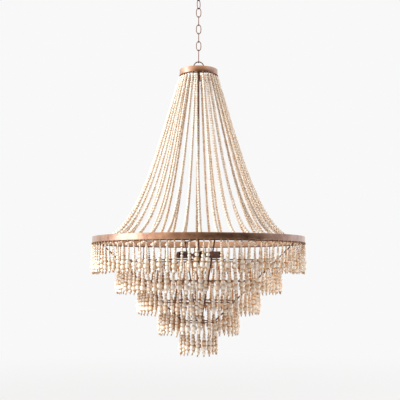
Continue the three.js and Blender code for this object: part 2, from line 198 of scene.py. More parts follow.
def repeated(one: Shape, points: Array, marks: dict[str, Array] | None = None) -> Shape:
    """Give many copies of a shape's faces their own points.

    Args:
        one: The shape whose faces are repeated.
        points: The copies' vertices, as copies by vertices by three.
        marks: Values by name, as copies by vertices or copies by vertices by three.

    Returns:
        One shape that holds the copies.
    """
    count, size = points.shape[:2]
    starts = (np.arange(count) * size)[:, None, None]
    return Shape(points.reshape(-1, 3),
                 [(group[None] + starts).reshape(-1, group.shape[1]) for group in one.faces],
                 [np.tile(uv, (count, 1, 1)) for uv in one.uvs],
                 {name: value.reshape(count * size, -1) for name, value in (marks or {}).items()})


def scattered(one: Shape, centres: Array, axes: Array, sizes: Array | float,
              marks: dict[str, Array] | None = None) -> Shape:
    """Set copies of a small shape at many places.

    Args:
        one: The shape, about one metre across.
        centres: Where each copy's origin goes.
        axes: Each copy's X, Y and Z directions, as copies by three by three.
        sizes: One size for all, or three for each copy as copies by one by three.
        marks: Values by name, as repeated takes them.

    Returns:
        One shape that holds the copies.
    """
    return repeated(one, (one.points[None] * sizes) @ axes + centres[:, None], marks)


def skin(grid: Array, wrap: bool) -> Shape:
    """Skin rows of points that each close on themselves.

    Args:
        grid: Points as rows by columns by three. The columns always close.
        wrap: Whether the last row joins the first. Otherwise a fan of faces round the middle of
            the end row closes each end.

    Returns:
        The closed shape, with pattern coordinates along the columns and along the rows.
    """
    rows, cols = grid.shape[:2]
    row, col = (value.ravel() for value in np.meshgrid(
        np.arange(rows if wrap else rows - 1), np.arange(cols), indexing="ij"))
    below, beside = (row + 1) % rows, (col + 1) % cols
    quads = np.stack([row * cols + col, row * cols + beside, below * cols + beside,
                      below * cols + col], 1)
    u, v = (np.concatenate([[0], np.cumsum(steps)]) for steps in (
        np.linalg.norm(np.roll(grid, -1, 1) - grid, axis=2).max(0),
        np.linalg.norm(np.roll(grid, -1, 0) - grid, axis=2).mean(1)))
    quad_uv = np.stack([np.stack([u[col + across], v[row + down]], 1)
                        for across, down in ((0, 0), (1, 0), (1, 1), (0, 1))], 1)
    points = grid.reshape(-1, 3)
    if wrap:
        return Shape(points, [quads], [quad_uv]).outward()
    here, start, middle = np.arange(cols), (rows - 1) * cols, np.full(cols, len(points))
    near = (here + 1) % cols
    fans = np.concatenate([np.stack([near, here, middle], 1),
                           np.stack([start + here, start + near, middle + 1], 1)])
    fan_uv = np.zeros((2 * cols, 3, 2))
    fan_uv[:, 0, 0] = fan_uv[:, 1, 0] = np.tile(u[:-1], 2)
    fan_uv[cols:, :, 1] = v[rows - 1]
    points = np.concatenate([points, grid[[0, -1]].mean(1)])
    return Shape(points, [quads, fans], [quad_uv, fan_uv]).outward()


def spun(outline: Sequence[Sequence[float]], steps: int, hollow: bool = False) -> Shape:
    """Revolve an outline about Z.

    Args:
        outline: Pairs of radius and height, in metres.
        steps: Columns round the axis.
        hollow: Whether the outline is a closed ring clear of the axis. Otherwise both its ends
            are closed by a point on the axis.

    Returns:
        The closed shape.
    """
    profile, angle = np.asarray(outline, float), turn(steps)
    grid = np.stack([profile[:, :1] * np.sin(angle), -profile[:, :1] * np.cos(angle),
                     np.repeat(profile[:, 1:], steps, 1)], 2)
    return skin(grid, hollow)


def tubes(paths: Array, across: Array, radii: Array | float, sides: int,
          closed: bool = False) -> Shape:
    """Carry a circle along one path or several of equal length.

    The circle stands square to the path: its first axis is the path's direction crossed with
    the given one, and its second is square to both.

    Args:
        paths: Points as paths by steps by three, or as steps by three.
        across: A direction clear of each path's own.
        radii: One radius, or the radius at each step.
        sides: Corners of the circle.
        closed: Whether each path ends where it starts, with that point given once.

    Returns:
        One shape that holds all the tubes.
    """
    paths = paths.reshape(-1, *paths.shape[-2:])
    count, steps = paths.shape[:2]
    along = unit(np.roll(paths, -1, 1) - np.roll(paths, 1, 1) if closed
                 else np.gradient(paths, axis=1))
    first = unit(np.cross(along, across.reshape(-1, 1, 3)))
    second = np.cross(along, first)
    angle = turn(sides)[:, None]
    ring = first[:, :, None] * np.cos(angle) + second[:, :, None] * np.sin(angle)
    grids = paths[:, :, None] + np.broadcast_to(radii, (count, steps))[:, :, None, None] * ring
    points = grids.reshape(count, -1, 3)
    if not closed:
        points = np.concatenate([points, grids[:, [0, -1]].mean(2)], 1)
    return repeated(skin(grids[0], closed), points)


def round_rod(start: Array, end: Array, radius: float, steps: int = 16) -> Shape:
    """A straight round rod with softened ends.

    Args:
        start: The middle of one end.
        end: The middle of the other.
        radius: Its radius.
        steps: Columns round it.

    Returns:
        The closed shape.
    """
    length, soft = float(np.linalg.norm(end - start)), 0.25 * radius
    outline = [(radius - soft, 0), (radius, soft), (radius, length / 2), (radius, length - soft),
               (radius - soft, length)]
    return spun(outline, steps).placed(start, axes_along(end - start))


def wire_ring(radius: float, z: float, steps: int) -> Shape:
    """A level hoop of round wire about Z, given its radius, height and points round it."""
    path = outwards(np.arange(steps) * 360 / steps) * radius + UP * z
    return tubes(path, UP, HOOP_WIRE, 12, closed=True)


def band_ring(outer: float, node: str, roll: float, steps: int) -> Shape:
    """A strip ring about Z whose edges are rolled round, its inner face marked.

    Args:
        outer: The outside radius.
        node: The CAD band that it stands for.
        roll: The radius of the rounded edges, at most half the wall.
        steps: Columns round the axis.

    Returns:
        The closed shape.
    """
    bottom, top = heights(node)
    inner = outer - BAND_WALL
    corners = [(outer - roll, bottom + roll, -90), (outer - roll, top - roll, 0),
               (inner + roll, top - roll, 90), (inner + roll, bottom + roll, 180)]
    ring = spun([(r + roll * np.cos(angle), z + roll * np.sin(angle)) for r, z, start in corners
                 for angle in np.radians(start + 30 * np.arange(4))], steps, hollow=True)
    # The inner face is marked: its finish paints it paler as painted light in the ring's shade,
    # and makes it duller
    within = np.hypot(ring.points[:, 0], ring.points[:, 1]) < outer - 0.55 * BAND_WALL
    ring.marks["inner"] = within[:, None].astype(float)
    return ring


def threaded(first: float, second: float, cuts: Array) -> list[tuple[float, float]]:
    """An outline that steps between two radii from one height to the next."""
    return [(second if k % 2 else first, z) for k, z in enumerate(cuts)]


# ---------------------------------------------------------------- finishes


def linear(hex_colour: str) -> tuple[float, float, float, float]:
    """Turn an sRGB hex colour into the linear one that shaders take.

    Args:
        hex_colour: Six hex digits after a #.

    Returns:
        Red, green, blue and an alpha of one.
    """
    share = np.array([int(hex_colour[k:k + 2], 16) for k in (1, 3, 5)]) / 255
    flat = np.where(share <= 0.04045, share / 12.92, ((share + 0.055) / 1.055) ** 2.4)
    return (*flat.tolist(), 1.0)


@dataclass(frozen=True)
class Sketch:
    """Short calls that add shader nodes to a tree. Inputs are sockets to join or constants."""

    tree: bpy.types.NodeTree

    def fill(self, node: bpy.types.Node, inputs: dict) -> None:
        """Set a node's inputs.

        Args:
            node: The node.
            inputs: Sockets and constants, by input.
        """
        for key, value in inputs.items():
            if isinstance(value, Socket):
                self.tree.links.new(value, node.inputs[key])
            else:
                node.inputs[key].default_value = value

    def add(self, kind: str, inputs: dict, output: str | int = 0, **options: str) -> Socket | None:
        """Add one node.

        Args:
            kind: Its type's name after ShaderNode.
            inputs: Sockets and constants, by input.
            output: Which output to give.
            options: The node's own options.

        Returns:
            The output, if the node has any.
        """
        made = self.tree.nodes.new("ShaderNode" + kind)
        for name, value in options.items():
            setattr(made, name, value)
        self.fill(made, inputs)
        return made.outputs[output] if len(made.outputs) else None

    def mark(self, name: str, output: str = "Fac") -> Socket:
        """The values that the mesh holds under a name."""
        return self.add("Attribute", {}, output, attribute_name=name)

    def place(self) -> Socket:
        """The point in the object's own coordinates."""
        return self.add("TexCoord", {}, "Object")

    def noise(self, at: Socket, scale: float, detail: float, roughness: float = 0.6) -> Socket:
        """Cloudy noise from 0 to 1."""
        return self.add("TexNoise", {"Vector": at, "Scale": scale, "Detail": detail,
                                     "Roughness": roughness})

    def weighted(self, source: Socket, weight: float, plus: Socket | float) -> Socket:
        """A value times its weight, plus another."""
        return self.add("Math", {0: source, 1: weight, 2: plus}, operation="MULTIPLY_ADD")

    def spread(self, source: Socket, low: float, high: float) -> Socket:
        """A value from 0 to 1 drawn out from low to high."""
        return self.add("MapRange", {0: source, 3: low, 4: high})

    def relief(self, source: Socket, strength: float, distance: float) -> Socket:
        """A normal that follows a height."""
        return self.add("Bump", {"Height": source, "Strength": strength, "Distance": distance})

    def glow(self, kind: str, colour: Socket | str, strength: Socket | float) -> Socket:
        """An Emission or Background shader."""
        tint = linear(colour) if isinstance(colour, str) else colour
        return self.add(kind, {"Color": tint, "Strength": strength})

    def ramp(self, source: Socket, stops: Sequence[tuple[float, str]]) -> Socket:
        """Turn a value into a colour.

        Args:
            source: The value.
            stops: Positions and sRGB hex colours: the first and the last, then those between.

        Returns:
            The colour.
        """
        colour = self.add("ValToRGB", {"Fac": source}, "Color")
        elements = colour.node.color_ramp.elements
        for index, (position, shade) in enumerate(stops):
            element = elements[index] if index < 2 else elements.new(position)
            element.position = position
            element.color = linear(shade)
        return colour


def new_material(name: str) -> tuple[bpy.types.Material, Sketch]:
    """Make a material with nodes.

    Args:
        name: What it is called.

    Returns:
        The material and its sketch.
    """
    made = bpy.data.materials.new(name)
    made.use_nodes = True
    return made, Sketch(made.node_tree)


@dataclass(frozen=True)
class Finish:
    """What a surface is made of and how it was worked. Subclasses draw the pattern."""

    name: str
    slot: Slot

    def surface(self, draw: Sketch) -> dict:
        """Draw the pattern.

        Args:
            draw: The material's nodes.

        Returns:
            The Principled shader's inputs.
        """
        raise NotImplementedError

    def material(self) -> bpy.types.Material:
        """Make the material, or give the one that is already made.

        Returns:
            The material.
        """
        made = bpy.data.materials.get(self.name)
        if made is None:
            made, draw = new_material(self.name)
            draw.fill(made.node_tree.nodes["Principled BSDF"], self.surface(draw))
        return made


@dataclass(frozen=True)
class BleachedWood(Finish):
    """Turned beads, bleached and lightly waxed.

    Cream outer faces, tan towards the bore from stain in the end grain and painted shade where
    beads meet, tan painted shade on the faces that turn inwards, fine grain along it, and each
    bead lighter or darker than the next.
    """

    stops: tuple[tuple[float, str], ...]
    bore_stain_and_shade: float = 0.18
    painted_shade_depth: float = 0.38

    def surface(self, draw: Sketch) -> dict:
        """Add grain, tone, bore stain with painted shade, and painted inward shade, and turn the
        sum into a colour.

        Args:
            draw: The material's nodes.

        Returns:
            The Principled shader's inputs.
        """
        grain = draw.mark("grain", "Vector")
        # The grain runs along the bore, so the pattern is drawn out seven times along it
        drawn = draw.add("Mapping", {"Vector": grain, "Scale": (1.0, 1.0, 0.14)})
        streaks = draw.noise(drawn, 900.0, 3.0)
        depth = draw.weighted(streaks, 0.34, draw.mark("tone"))
        depth = draw.weighted(draw.noise(grain, 160.0, 2.0, 0.5), 0.30, depth)
        # Darker towards the bore: partly stain in the end grain, partly painted shade where beads
        # meet
        depth = draw.weighted(draw.mark("bore"), self.bore_stain_and_shade, depth)
        # Painted shade: the faces that turn inwards, towards the centre axis and away from the
        # light, go tan
        depth = draw.weighted(draw.mark("painted_shade"), self.painted_shade_depth, depth)
        return {"Base Color": draw.ramp(depth, self.stops),
                "Roughness": draw.spread(streaks, 0.42, 0.62),
                "Normal": draw.relief(streaks, 0.25, 0.0002)}


@dataclass(frozen=True)
class BrushedMetal(Finish):
    """Strip or spun metal, brushed round and then aged and lacquered.

    Fine lines round the ring, with darker oxide in the lows and a few worn bright patches. The
    inner face is duller than the outer one, and painted paler as painted light in the ring's
    shade.
    """

    dark: str
    middle: str
    bright: str
    roughness: float = 0.25

    def surface(self, draw: Sketch) -> dict:
        """Draw brush lines along the pattern coordinates over clouds of oxide.

        Args:
            draw: The material's nodes.

        Returns:
            The Principled shader's inputs.
        """
        # Lines are 0.3 mm apart across the brushing and some 60 mm long
        pattern = draw.add("UVMap", {}, uv_map="pattern")
        drawn = draw.add("Mapping", {"Vector": pattern, "Scale": (16.0, 3200.0, 1.0)})
        lines = draw.noise(drawn, 1.0, 3.0)
        both = draw.weighted(lines, 0.35, draw.noise(draw.place(), 28.0, 5.0))
        inner = draw.mark("inner")
        rough = draw.spread(both, self.roughness - 0.08, self.roughness + 0.12)
        stops = ((0.42, self.dark), (0.92, self.bright), (0.66, self.middle))
        # The inner face is painted paler, painted light against the shade inside the ring, and
        # made less metallic and rougher
        return {"Base Color": draw.ramp(draw.weighted(inner, 0.3, both), stops),
                "Metallic": draw.weighted(inner, -0.75, 1.0),
                "Roughness": draw.weighted(inner, 0.35, rough),
                "Coat Weight": 0.7, "Coat Roughness": 0.25,
                "Normal": draw.relief(lines, 0.2, 0.00008)}


@dataclass(frozen=True)
class Coated(Finish):
    """Wire, rod, castings and mouldings with an even coat that is mottled a little.

    A satin surface whose tone and gloss drift over a few millimetres, with fine orange peel, and
    painted shade where pieces meet each other.
    """

    dark: str
    bright: str
    metallic: float
    low_rough: float
    high_rough: float
    patch: float = 240.0
    relief: float = 0.00006

    def surface(self, draw: Sketch) -> dict:
        """Mottle the colour and roughness by noise in the object's own place.

        Args:
            draw: The material's nodes.

        Returns:
            The Principled shader's inputs.
        """
        mottle = draw.noise(draw.place(), self.patch, 4.0)
        # Painted shade where the mesh marks it, down to the darkest stop
        contact_shaded = draw.weighted(draw.mark("painted_contact_shade"), -0.45, mottle)
        stops = ((0.08, "#2c1a12"), (0.68, self.bright), (0.32, self.dark))
        return {"Base Color": draw.ramp(contact_shaded, stops), "Metallic": self.metallic,
                "Roughness": draw.spread(mottle, self.low_rough, self.high_rough),
                "Normal": draw.relief(mottle, 0.3, self.relief)}


WOOD = BleachedWood("bleached turned beech, waxed", Slot.WOOD, (
    (0.15, "#fffcf7"), (1.0, "#6f4424"), (0.38, "#f9f2e8"), (0.56, "#e6c8a4"), (0.76, "#b57f4d")))
COPPER = BrushedMetal("antiqued copper strip, brushed", Slot.COPPER, "#8a614a", "#b88a6c",
                      "#cfa587")
BRONZE = Coated("drawn steel, dark bronze coat", Slot.BRONZE, "#472a1e", "#7a523d", 0.9, 0.28,
                0.46)
CHAIN_WIRE = Coated("welded chain wire, worn bronze coat", Slot.BRONZE, "#6d4433", "#a5785f", 0.95,
                    0.26, 0.42, 420.0)
PHENOLIC = Coated("brown phenolic moulding", Slot.PHENOLIC, "#3b211b", "#54332a", 0.0, 0.38, 0.52,
                  180.0)
BRASS = Coated("rolled brass sheet", Slot.BRASS, "#9c7a3c", "#c9a55e", 1.0, 0.24, 0.4)
ZINC = Coated("steel strap, bright zinc plate", Slot.ZINC, "#8f9190", "#b9bab7", 1.0, 0.32, 0.5,
              90.0)
CORD = Coated("waxed jute thread", Slot.WOOD, "#96704a", "#c09a70", 0.0, 0.6, 0.8, 900.0, 0.0002)


# ---------------------------------------------------------------- the CAD's measures


def node_points(node: str) -> Array:
    """The vertices of a CAD node.

    Args:
        node: The node's name.

    Returns:
        One vertex in each row.
    """
    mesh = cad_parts[node].data
    flat = np.zeros(3 * len(mesh.vertices), np.float32)
    mesh.vertices.foreach_get("co", flat)
    return flat.reshape(-1, 3).astype(float)


def long_way(points: Array) -> Array:
    """The unit direction in which points reach furthest from the middle of their box."""
    return np.linalg.svd(points - (points.max(0) + points.min(0)) / 2, full_matrices=False)[2][0]


def rod_ends(node: str) -> Array:
    """The middles of a straight CAD rod's two ends, the one nearer the centre axis first.

    Args:
        node: The rod's name.

    Returns:
        Both points.
    """
    points = node_points(node)
    side = (points - (points.max(0) + points.min(0)) / 2) @ long_way(points) > 0
    ends = [points[side].mean(0), points[~side].mean(0)]
    return np.array(sorted(ends, key=lambda end: float(np.hypot(end[0], end[1]))))


def level_direction(node: str) -> Array:
    """The level unit direction in which an upright flat node is widest."""
    return np.append(long_way(node_points(node)[:, :2]), 0.0)


def heights(node: str) -> tuple[float, float]:
    """The lowest and highest level of a CAD node."""
    low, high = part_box(node)
    return low.z, high.z


def hoop_height(node: str) -> float:
    """The middle of the wire hoop at the top of a CAD node."""
    return heights(node)[1] - HOOP_WIRE


# ---------------------------------------------------------------- pieces


def mesh_object(name: str, points: Array, faces: list, material: bpy.types.Material,
                marks: dict[str, Array]) -> bpy.types.Object:
    """Link an object with a new smooth mesh to the scene.

    Args:
        name: Its name.
        points: Its vertices.
        faces: Its faces' corner numbers.
        material: Its material.
        marks: Values by name, one row for each vertex.

    Returns:
        The object.
    """
    mesh = bpy.data.meshes.new(name)
    mesh.from_pydata(points.tolist(), [], faces)
    for mark, values in marks.items():
        kind, part = ("FLOAT", "value") if values.shape[1] == 1 else ("FLOAT_VECTOR", "vector")
        layer = mesh.attributes.new(mark, kind, "POINT")
        layer.data.foreach_set(part, values.astype(np.float32).ravel())
    mesh.polygons.foreach_set("use_smooth", np.ones(len(mesh.polygons), bool))
    mesh.materials.append(material)
    mesh.update()
    made = bpy.data.objects.new(name, mesh)
    bpy.context.scene.collection.objects.link(made)
    return made


def dress(node: str, finish: Finish) -> None:
    """Give a CAD node that stays in view a real finish.

    Args:
        node: The node's name.
        finish: Its surface.
    """
    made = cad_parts[node]
    made.data.materials.clear()
    made.data.materials.append(finish.material())


@dataclass(frozen=True)
class Beads:
    """The small turned and knotted shapes that are repeated, each made one metre across."""

    tone_spread: float = 0.07
    painted_shade: float = 1.0
    painted_shade_base: float = 0.44
    fullness: float = 0.39
    tie_radius: float = 2.9 * MM

    def bead(self, sides: int) -> Shape:
        """A bead along Z, 0.9 high, drawn in and dimpled at both ends where the thread enters.

        Args:
            sides: Columns round the bead.

        Returns:
            The bead.
        """
        end = 1.6 * self.fullness - 0.48
        made = spun([(end, -0.44), (self.fullness, -0.33), (0.5, 0.0), (self.fullness, 0.33),
                     (end, 0.44)], sides)
        made.points[-2:, 2] *= 0.86
        return made

    def strung(self, centres: Array, along: Array, beside: Array, sizes: Array, sides: int,
               rng: np.random.Generator) -> Shape:
        """Set a bead at each place, turned to its thread.

        Args:
            centres: The beads' middles.
            along: The thread's direction at each bead.
            beside: The hoop's direction at each bead.
            sizes: The beads' diameters.
            sides: Columns round each bead.
            rng: Source of the small differences between beads.

        Returns:
            All the beads, marked with tone, bore, grain and painted shade.
        """
        centres, along, beside = (values.reshape(-1, 3) for values in (centres, along, beside))
        sizes, count = sizes.ravel(), len(centres)
        z = unit(along)
        x = unit(np.cross(beside, z))
        y = np.cross(z, x)
        spin = rng.uniform(0, 2 * np.pi, (count, 1))
        tilt = rng.normal(0, 0.05, (count, 2, 1))
        turned = np.cos(spin) * x + np.sin(spin) * y
        z = unit(z + tilt[:, 0] * x + tilt[:, 1] * y)
        turned = unit(turned - np.sum(turned * z, 1, keepdims=True) * z)
        axes = np.stack([turned, np.cross(z, turned), z], 1)
        one = self.bead(sides)
        size = len(one.points)
        scale = np.stack([sizes, sizes, sizes * rng.uniform(0.97, 1.04, count)], 1)
        tone = np.repeat(rng.normal(0.0, self.tone_spread, (count, 1)), size, 1)
        # Nearness to the bore, where stain gathers and where shade between beads is painted
        bore = np.clip((np.abs(one.points[:, 2]) - 0.2) / 0.23, 0, 1) ** 1.5
        grain = one.points[None] * sizes[:, None, None] + rng.uniform(-5, 5, (count, 1, 3))
        # Level distance from the middle towards the centre axis, as a share of the radius
        reach = np.einsum("cij,cj->ci", one.points[None] @ axes, np.cross(UP, beside))
        # Painted shade: none on the outward face, growing to full on the face towards the centre
        # axis
        painted_shade = self.painted_shade * np.clip(self.painted_shade_base + 1.3 * reach, 0, 1)
        return scattered(one, centres, axes, scale[:, None], {
            "tone": tone, "bore": np.tile(bore, (count, 1)), "grain": grain, "painted_shade": painted_shade})

    def knots(self, places: Array, outward: Array, size: float) -> Shape:
        """Small tight knots: low-sided balls with a waist.

        Args:
            places: The knots' middles.
            outward: The level direction of each knot's string.
            size: Their width.

        Returns:
            All the knots.
        """
        knot = spun([(0.3, -0.38), (0.5, -0.16), (0.42, 0.02), (0.5, 0.2), (0.26, 0.4)], 7)
        level = np.stack([outward, np.cross(UP, outward), np.broadcast_to(UP, outward.shape)], 1)
        return scattered(knot, places, level, size)

    def wraps(self, places: Array, axes: Array, size: float) -> Shape:
        """Three turns of thread side by side round a wire.

        Args:
            places: Where the wire is wrapped.
            axes: Directions with the wire's own in the last row, for each place.
            size: The turns' outside radius.

        Returns:
            All the wraps.
        """
        outline = [(0.78, -0.6), (1.0, -0.4), (0.86, -0.2), (1.02, 0.0), (0.86, 0.2), (1.0, 0.4),
                   (0.78, 0.6), (0.6, 0.0)]
        return scattered(spun(outline, 8, hollow=True), places, axes, size)

    def ties(self, outward: Array, radius: float, hoop_z: float, knot: Sequence[float]) -> Shape:
        """The turns round a hoop that carry each string, with a knot under each.

        Args:
            outward: Each string's level direction.
            radius: The hoop's radius.
            hoop_z: The hoop's height.
            knot: How far the knots sit inside and under the hoop, and their width.

        Returns:
            All the ties.
        """
        inset, drop, width = knot
        axes = np.stack([outward, np.broadcast_to(UP, outward.shape), np.cross(UP, outward)], 1)
        return merged([
            self.wraps(outward * radius + UP * hoop_z, axes, self.tie_radius),
            self.knots(outward * (radius - inset) + UP * (hoop_z - drop), outward, width)])


@dataclass
class SubAssembly:
    """A part of the chandelier that is built and dressed together."""

    pieces: list[bpy.types.Object] = field(default_factory=list)
    beads: Beads = Beads()

    def add(self, name: str, shape: Shape, finish: Finish, nodes: Iterable[str] = (),
            crisp: float = 0.0, body: str = FRAME_BODY) -> None:
        """Turn a shape into an object of the model and keep it.

        Args:
            name: The piece's name.
            shape: Its mesh.
            finish: Its surface.
            nodes: The CAD nodes that it stands for.
            crisp: The angle in degrees from which edges stay crisp, or zero for a smooth skin.
            body: The CAD body that it rides on.
        """
        faces = [corners for group in shape.faces for corners in group.tolist()]
        made = mesh_object(name, shape.points, faces, finish.material(), shape.marks)
        flat = np.concatenate([uv.reshape(-1, 2) for uv in shape.uvs])
        layer = made.data.uv_layers.new(name="pattern")
        layer.data.foreach_set("uv", flat.astype(np.float32).ravel())
        if crisp:
            made.data.set_sharp_from_angle(angle=np.radians(crisp))
        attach(made, body)
        if nodes:
            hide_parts(*nodes)
        self.pieces.append(made)

    def build(self) -> None:
        """Make every piece."""
        raise NotImplementedError


@dataclass
class CeilingFitting(SubAssembly):
    """The spun canopy, its strap and ring nut, and the threaded loop."""

    shank_radius: float = 5 * MM
    ring_radius: float = 15 * MM
    ring_wire: float = 2 * MM
    nut_flutes: int = 16
    flute_depth: float = 0.35 * MM

    def canopy(self) -> Shape:
        """The dish: a quarter of an ellipse between the flat and a rolled upright edge.

        Returns:
            The dish.
        """
        low, high = heights("ceiling_canopy")
        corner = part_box("ceiling_canopy")[1]
        rim, flat, wall, edge, hole = max(corner.x, corner.y), 26 * MM, 1.6 * MM, 7 * MM, 5.4 * MM
        angle = np.linspace(0, np.pi / 2, 14)
        outer, inner = (
            np.stack([flat + (rim - flat - inset) * np.sin(angle),
                      low + inset + (high - edge - low - inset) * (1 - np.cos(angle))], 1)
            for inset in (0.0, wall))
        lip = [(rim, high - 0.4 * MM), (rim - 0.4 * MM, high), (rim - wall, high)]
        return spun([(hole, low), *outer, *lip, *inner[::-1], (hole, low + wall)], 96, hollow=True)

    def loop(self) -> Shape:
        """The ring in its own plane, with a collar and the threaded shank above it.

        Returns:
            The ring and shank.
        """
        low, high = heights("canopy_loop")
        centre = low + self.ring_radius + self.ring_wire
        level = level_direction("canopy_loop")
        angle = turn(48)[:, None]
        path = self.ring_radius * (np.cos(angle) * level + np.sin(angle) * UP) + UP * centre
        wire = tubes(path, np.cross(level, UP), self.ring_wire, 14, closed=True)
        foot = centre + self.ring_radius - 0.6 * MM
        root = self.shank_radius - 0.45 * MM
        thread = threaded(self.shank_radius, root,
                          np.arange(foot + 4 * MM, high - 1 * MM, 0.75 * MM))
        return merged([wire, spun([
            (3.2 * MM, foot), (5.4 * MM, foot + 1.2 * MM), (5.4 * MM, foot + 2.4 * MM), *thread,
            (root, high - 0.6 * MM), (root - 0.5 * MM, high)], 24)])

    def collar(self) -> Shape:
        """The ring nut: a softened ring with sixteen grip flutes.

        Returns:
            The nut.
        """
        low, high = heights("canopy_collar")
        outer, hole, soft = 12 * MM, 5.45 * MM, 1.4 * MM
        ring = spun([(hole, low), (outer - soft, low), (outer - 0.4 * soft, low + 0.4 * soft),
                     (outer, low + soft), (outer, high - 0.5 * MM), (outer - 0.5 * MM, high),
                     (hole, high)], 96, hollow=True)
        x, y = ring.points[:, 0], ring.points[:, 1]
        radius = np.hypot(x, y)
        depth = np.clip(np.cos(self.nut_flutes * np.arctan2(y, x)) - 0.2, 0, 1)
        flute = self.flute_depth * depth * (radius > outer - 0.1 * MM)
        ring.points[:, :2] *= (1 - flute / radius)[:, None]
        return ring

    def build(self) -> None:
        """Make the canopy, ring nut and loop, and dress the strap."""
        for name, shape, finish, node, crisp in (
                ("canopy_dish", self.canopy(), COPPER, "ceiling_canopy", 40),
                ("canopy_ring_nut", self.collar(), COPPER, "canopy_collar", 34),
                ("canopy_loop_and_shank", self.loop(), CHAIN_WIRE, "canopy_loop", 50)):
            self.add(name, shape, finish, [node], crisp, CEILING_BODY)
        dress("mounting_strap", ZINC)


@dataclass
class Chain(SubAssembly):
    """Eight oval links of butt-welded wire."""

    links: int = 8
    wire: float = 1.5 * MM

    def link(self, node: str) -> Shape:
        """An ellipse with slightly fuller shoulders, its weld swollen a little.

        Args:
            node: The CAD link.

        Returns:
            The link in its place.
        """
        low, high = heights(node)
        level = level_direction(node)
        reach = float(np.abs(node_points(node) @ level).max()) - self.wire
        angle = turn(56)
        across = np.cos(angle) * reach * (1 + 0.07 * np.sin(2 * angle) ** 2)
        rise = np.sin(angle) * ((high - low) / 2 - self.wire) + (low + high) / 2
        path = across[:, None] * level + rise[:, None] * UP
        weld = self.wire * (1 + 0.12 * np.exp(-((angle - np.pi) / 0.12) ** 2))
        made = tubes(path, np.cross(level, UP), weld, 12, closed=True)
        # Painted shade at both ends of the link, where it meets the next link
        made.marks["painted_contact_shade"] = np.repeat(np.sin(angle) ** 12, 12)[:, None]
        return made

    def build(self) -> None:
        """Make each link on its own body."""
        for number in range(self.links, 0, -1):
            node = f"chain_link_{number}"
            self.add(f"oval_link_{number}", self.link(node), CHAIN_WIRE, [node],
                     body=f"link_{number}")


@dataclass
class Cap(SubAssembly):
    """The short band with its wire loop, crossbar and the dark hoop under its edge."""

    wire: float = 2 * MM
    reach: float = 18 * MM

    def loop(self) -> Shape:
        """An inverted U: a half circle on two straight legs, their ends softened.

        Returns:
            The loop.
        """
        low, high = heights("cap_loop")
        angle, reach, foot = np.linspace(np.pi, 0, 25)[:, None], self.reach, low + 0.6 * MM
        arc = np.cos(angle) * [reach, 0, 0] + np.sin(angle) * UP * reach
        arc += UP * (high - self.wire - reach)
        path = np.concatenate([[[-reach, 0, low], [-reach, 0, foot]], arc,
                               [[reach, 0, foot], [reach, 0, low]]])
        radii = np.full(len(path), self.wire)
        radii[[0, -1]] *= 0.7
        return tubes(path, np.array([0, 1.0, 0]), radii, 14)

    def build(self) -> None:
        """Make the band, its loop and its hoop, and dress the crossbar."""
        node = "cap_hoop_and_drapes"
        strip = band_ring(CAP_RADIUS, "cap_band", 0.7 * MM, 120)
        hoop = wire_ring(CAP_HOOP_RADIUS, hoop_height(node), 120)
        self.add("cap_strip", strip, COPPER, ["cap_band"])
        self.add("cap_hanging_loop", self.loop(), CHAIN_WIRE, ["cap_loop"])
        self.add("cap_wire_hoop", hoop, BRONZE, [node])
        dress("cap_crossbar", BRONZE)


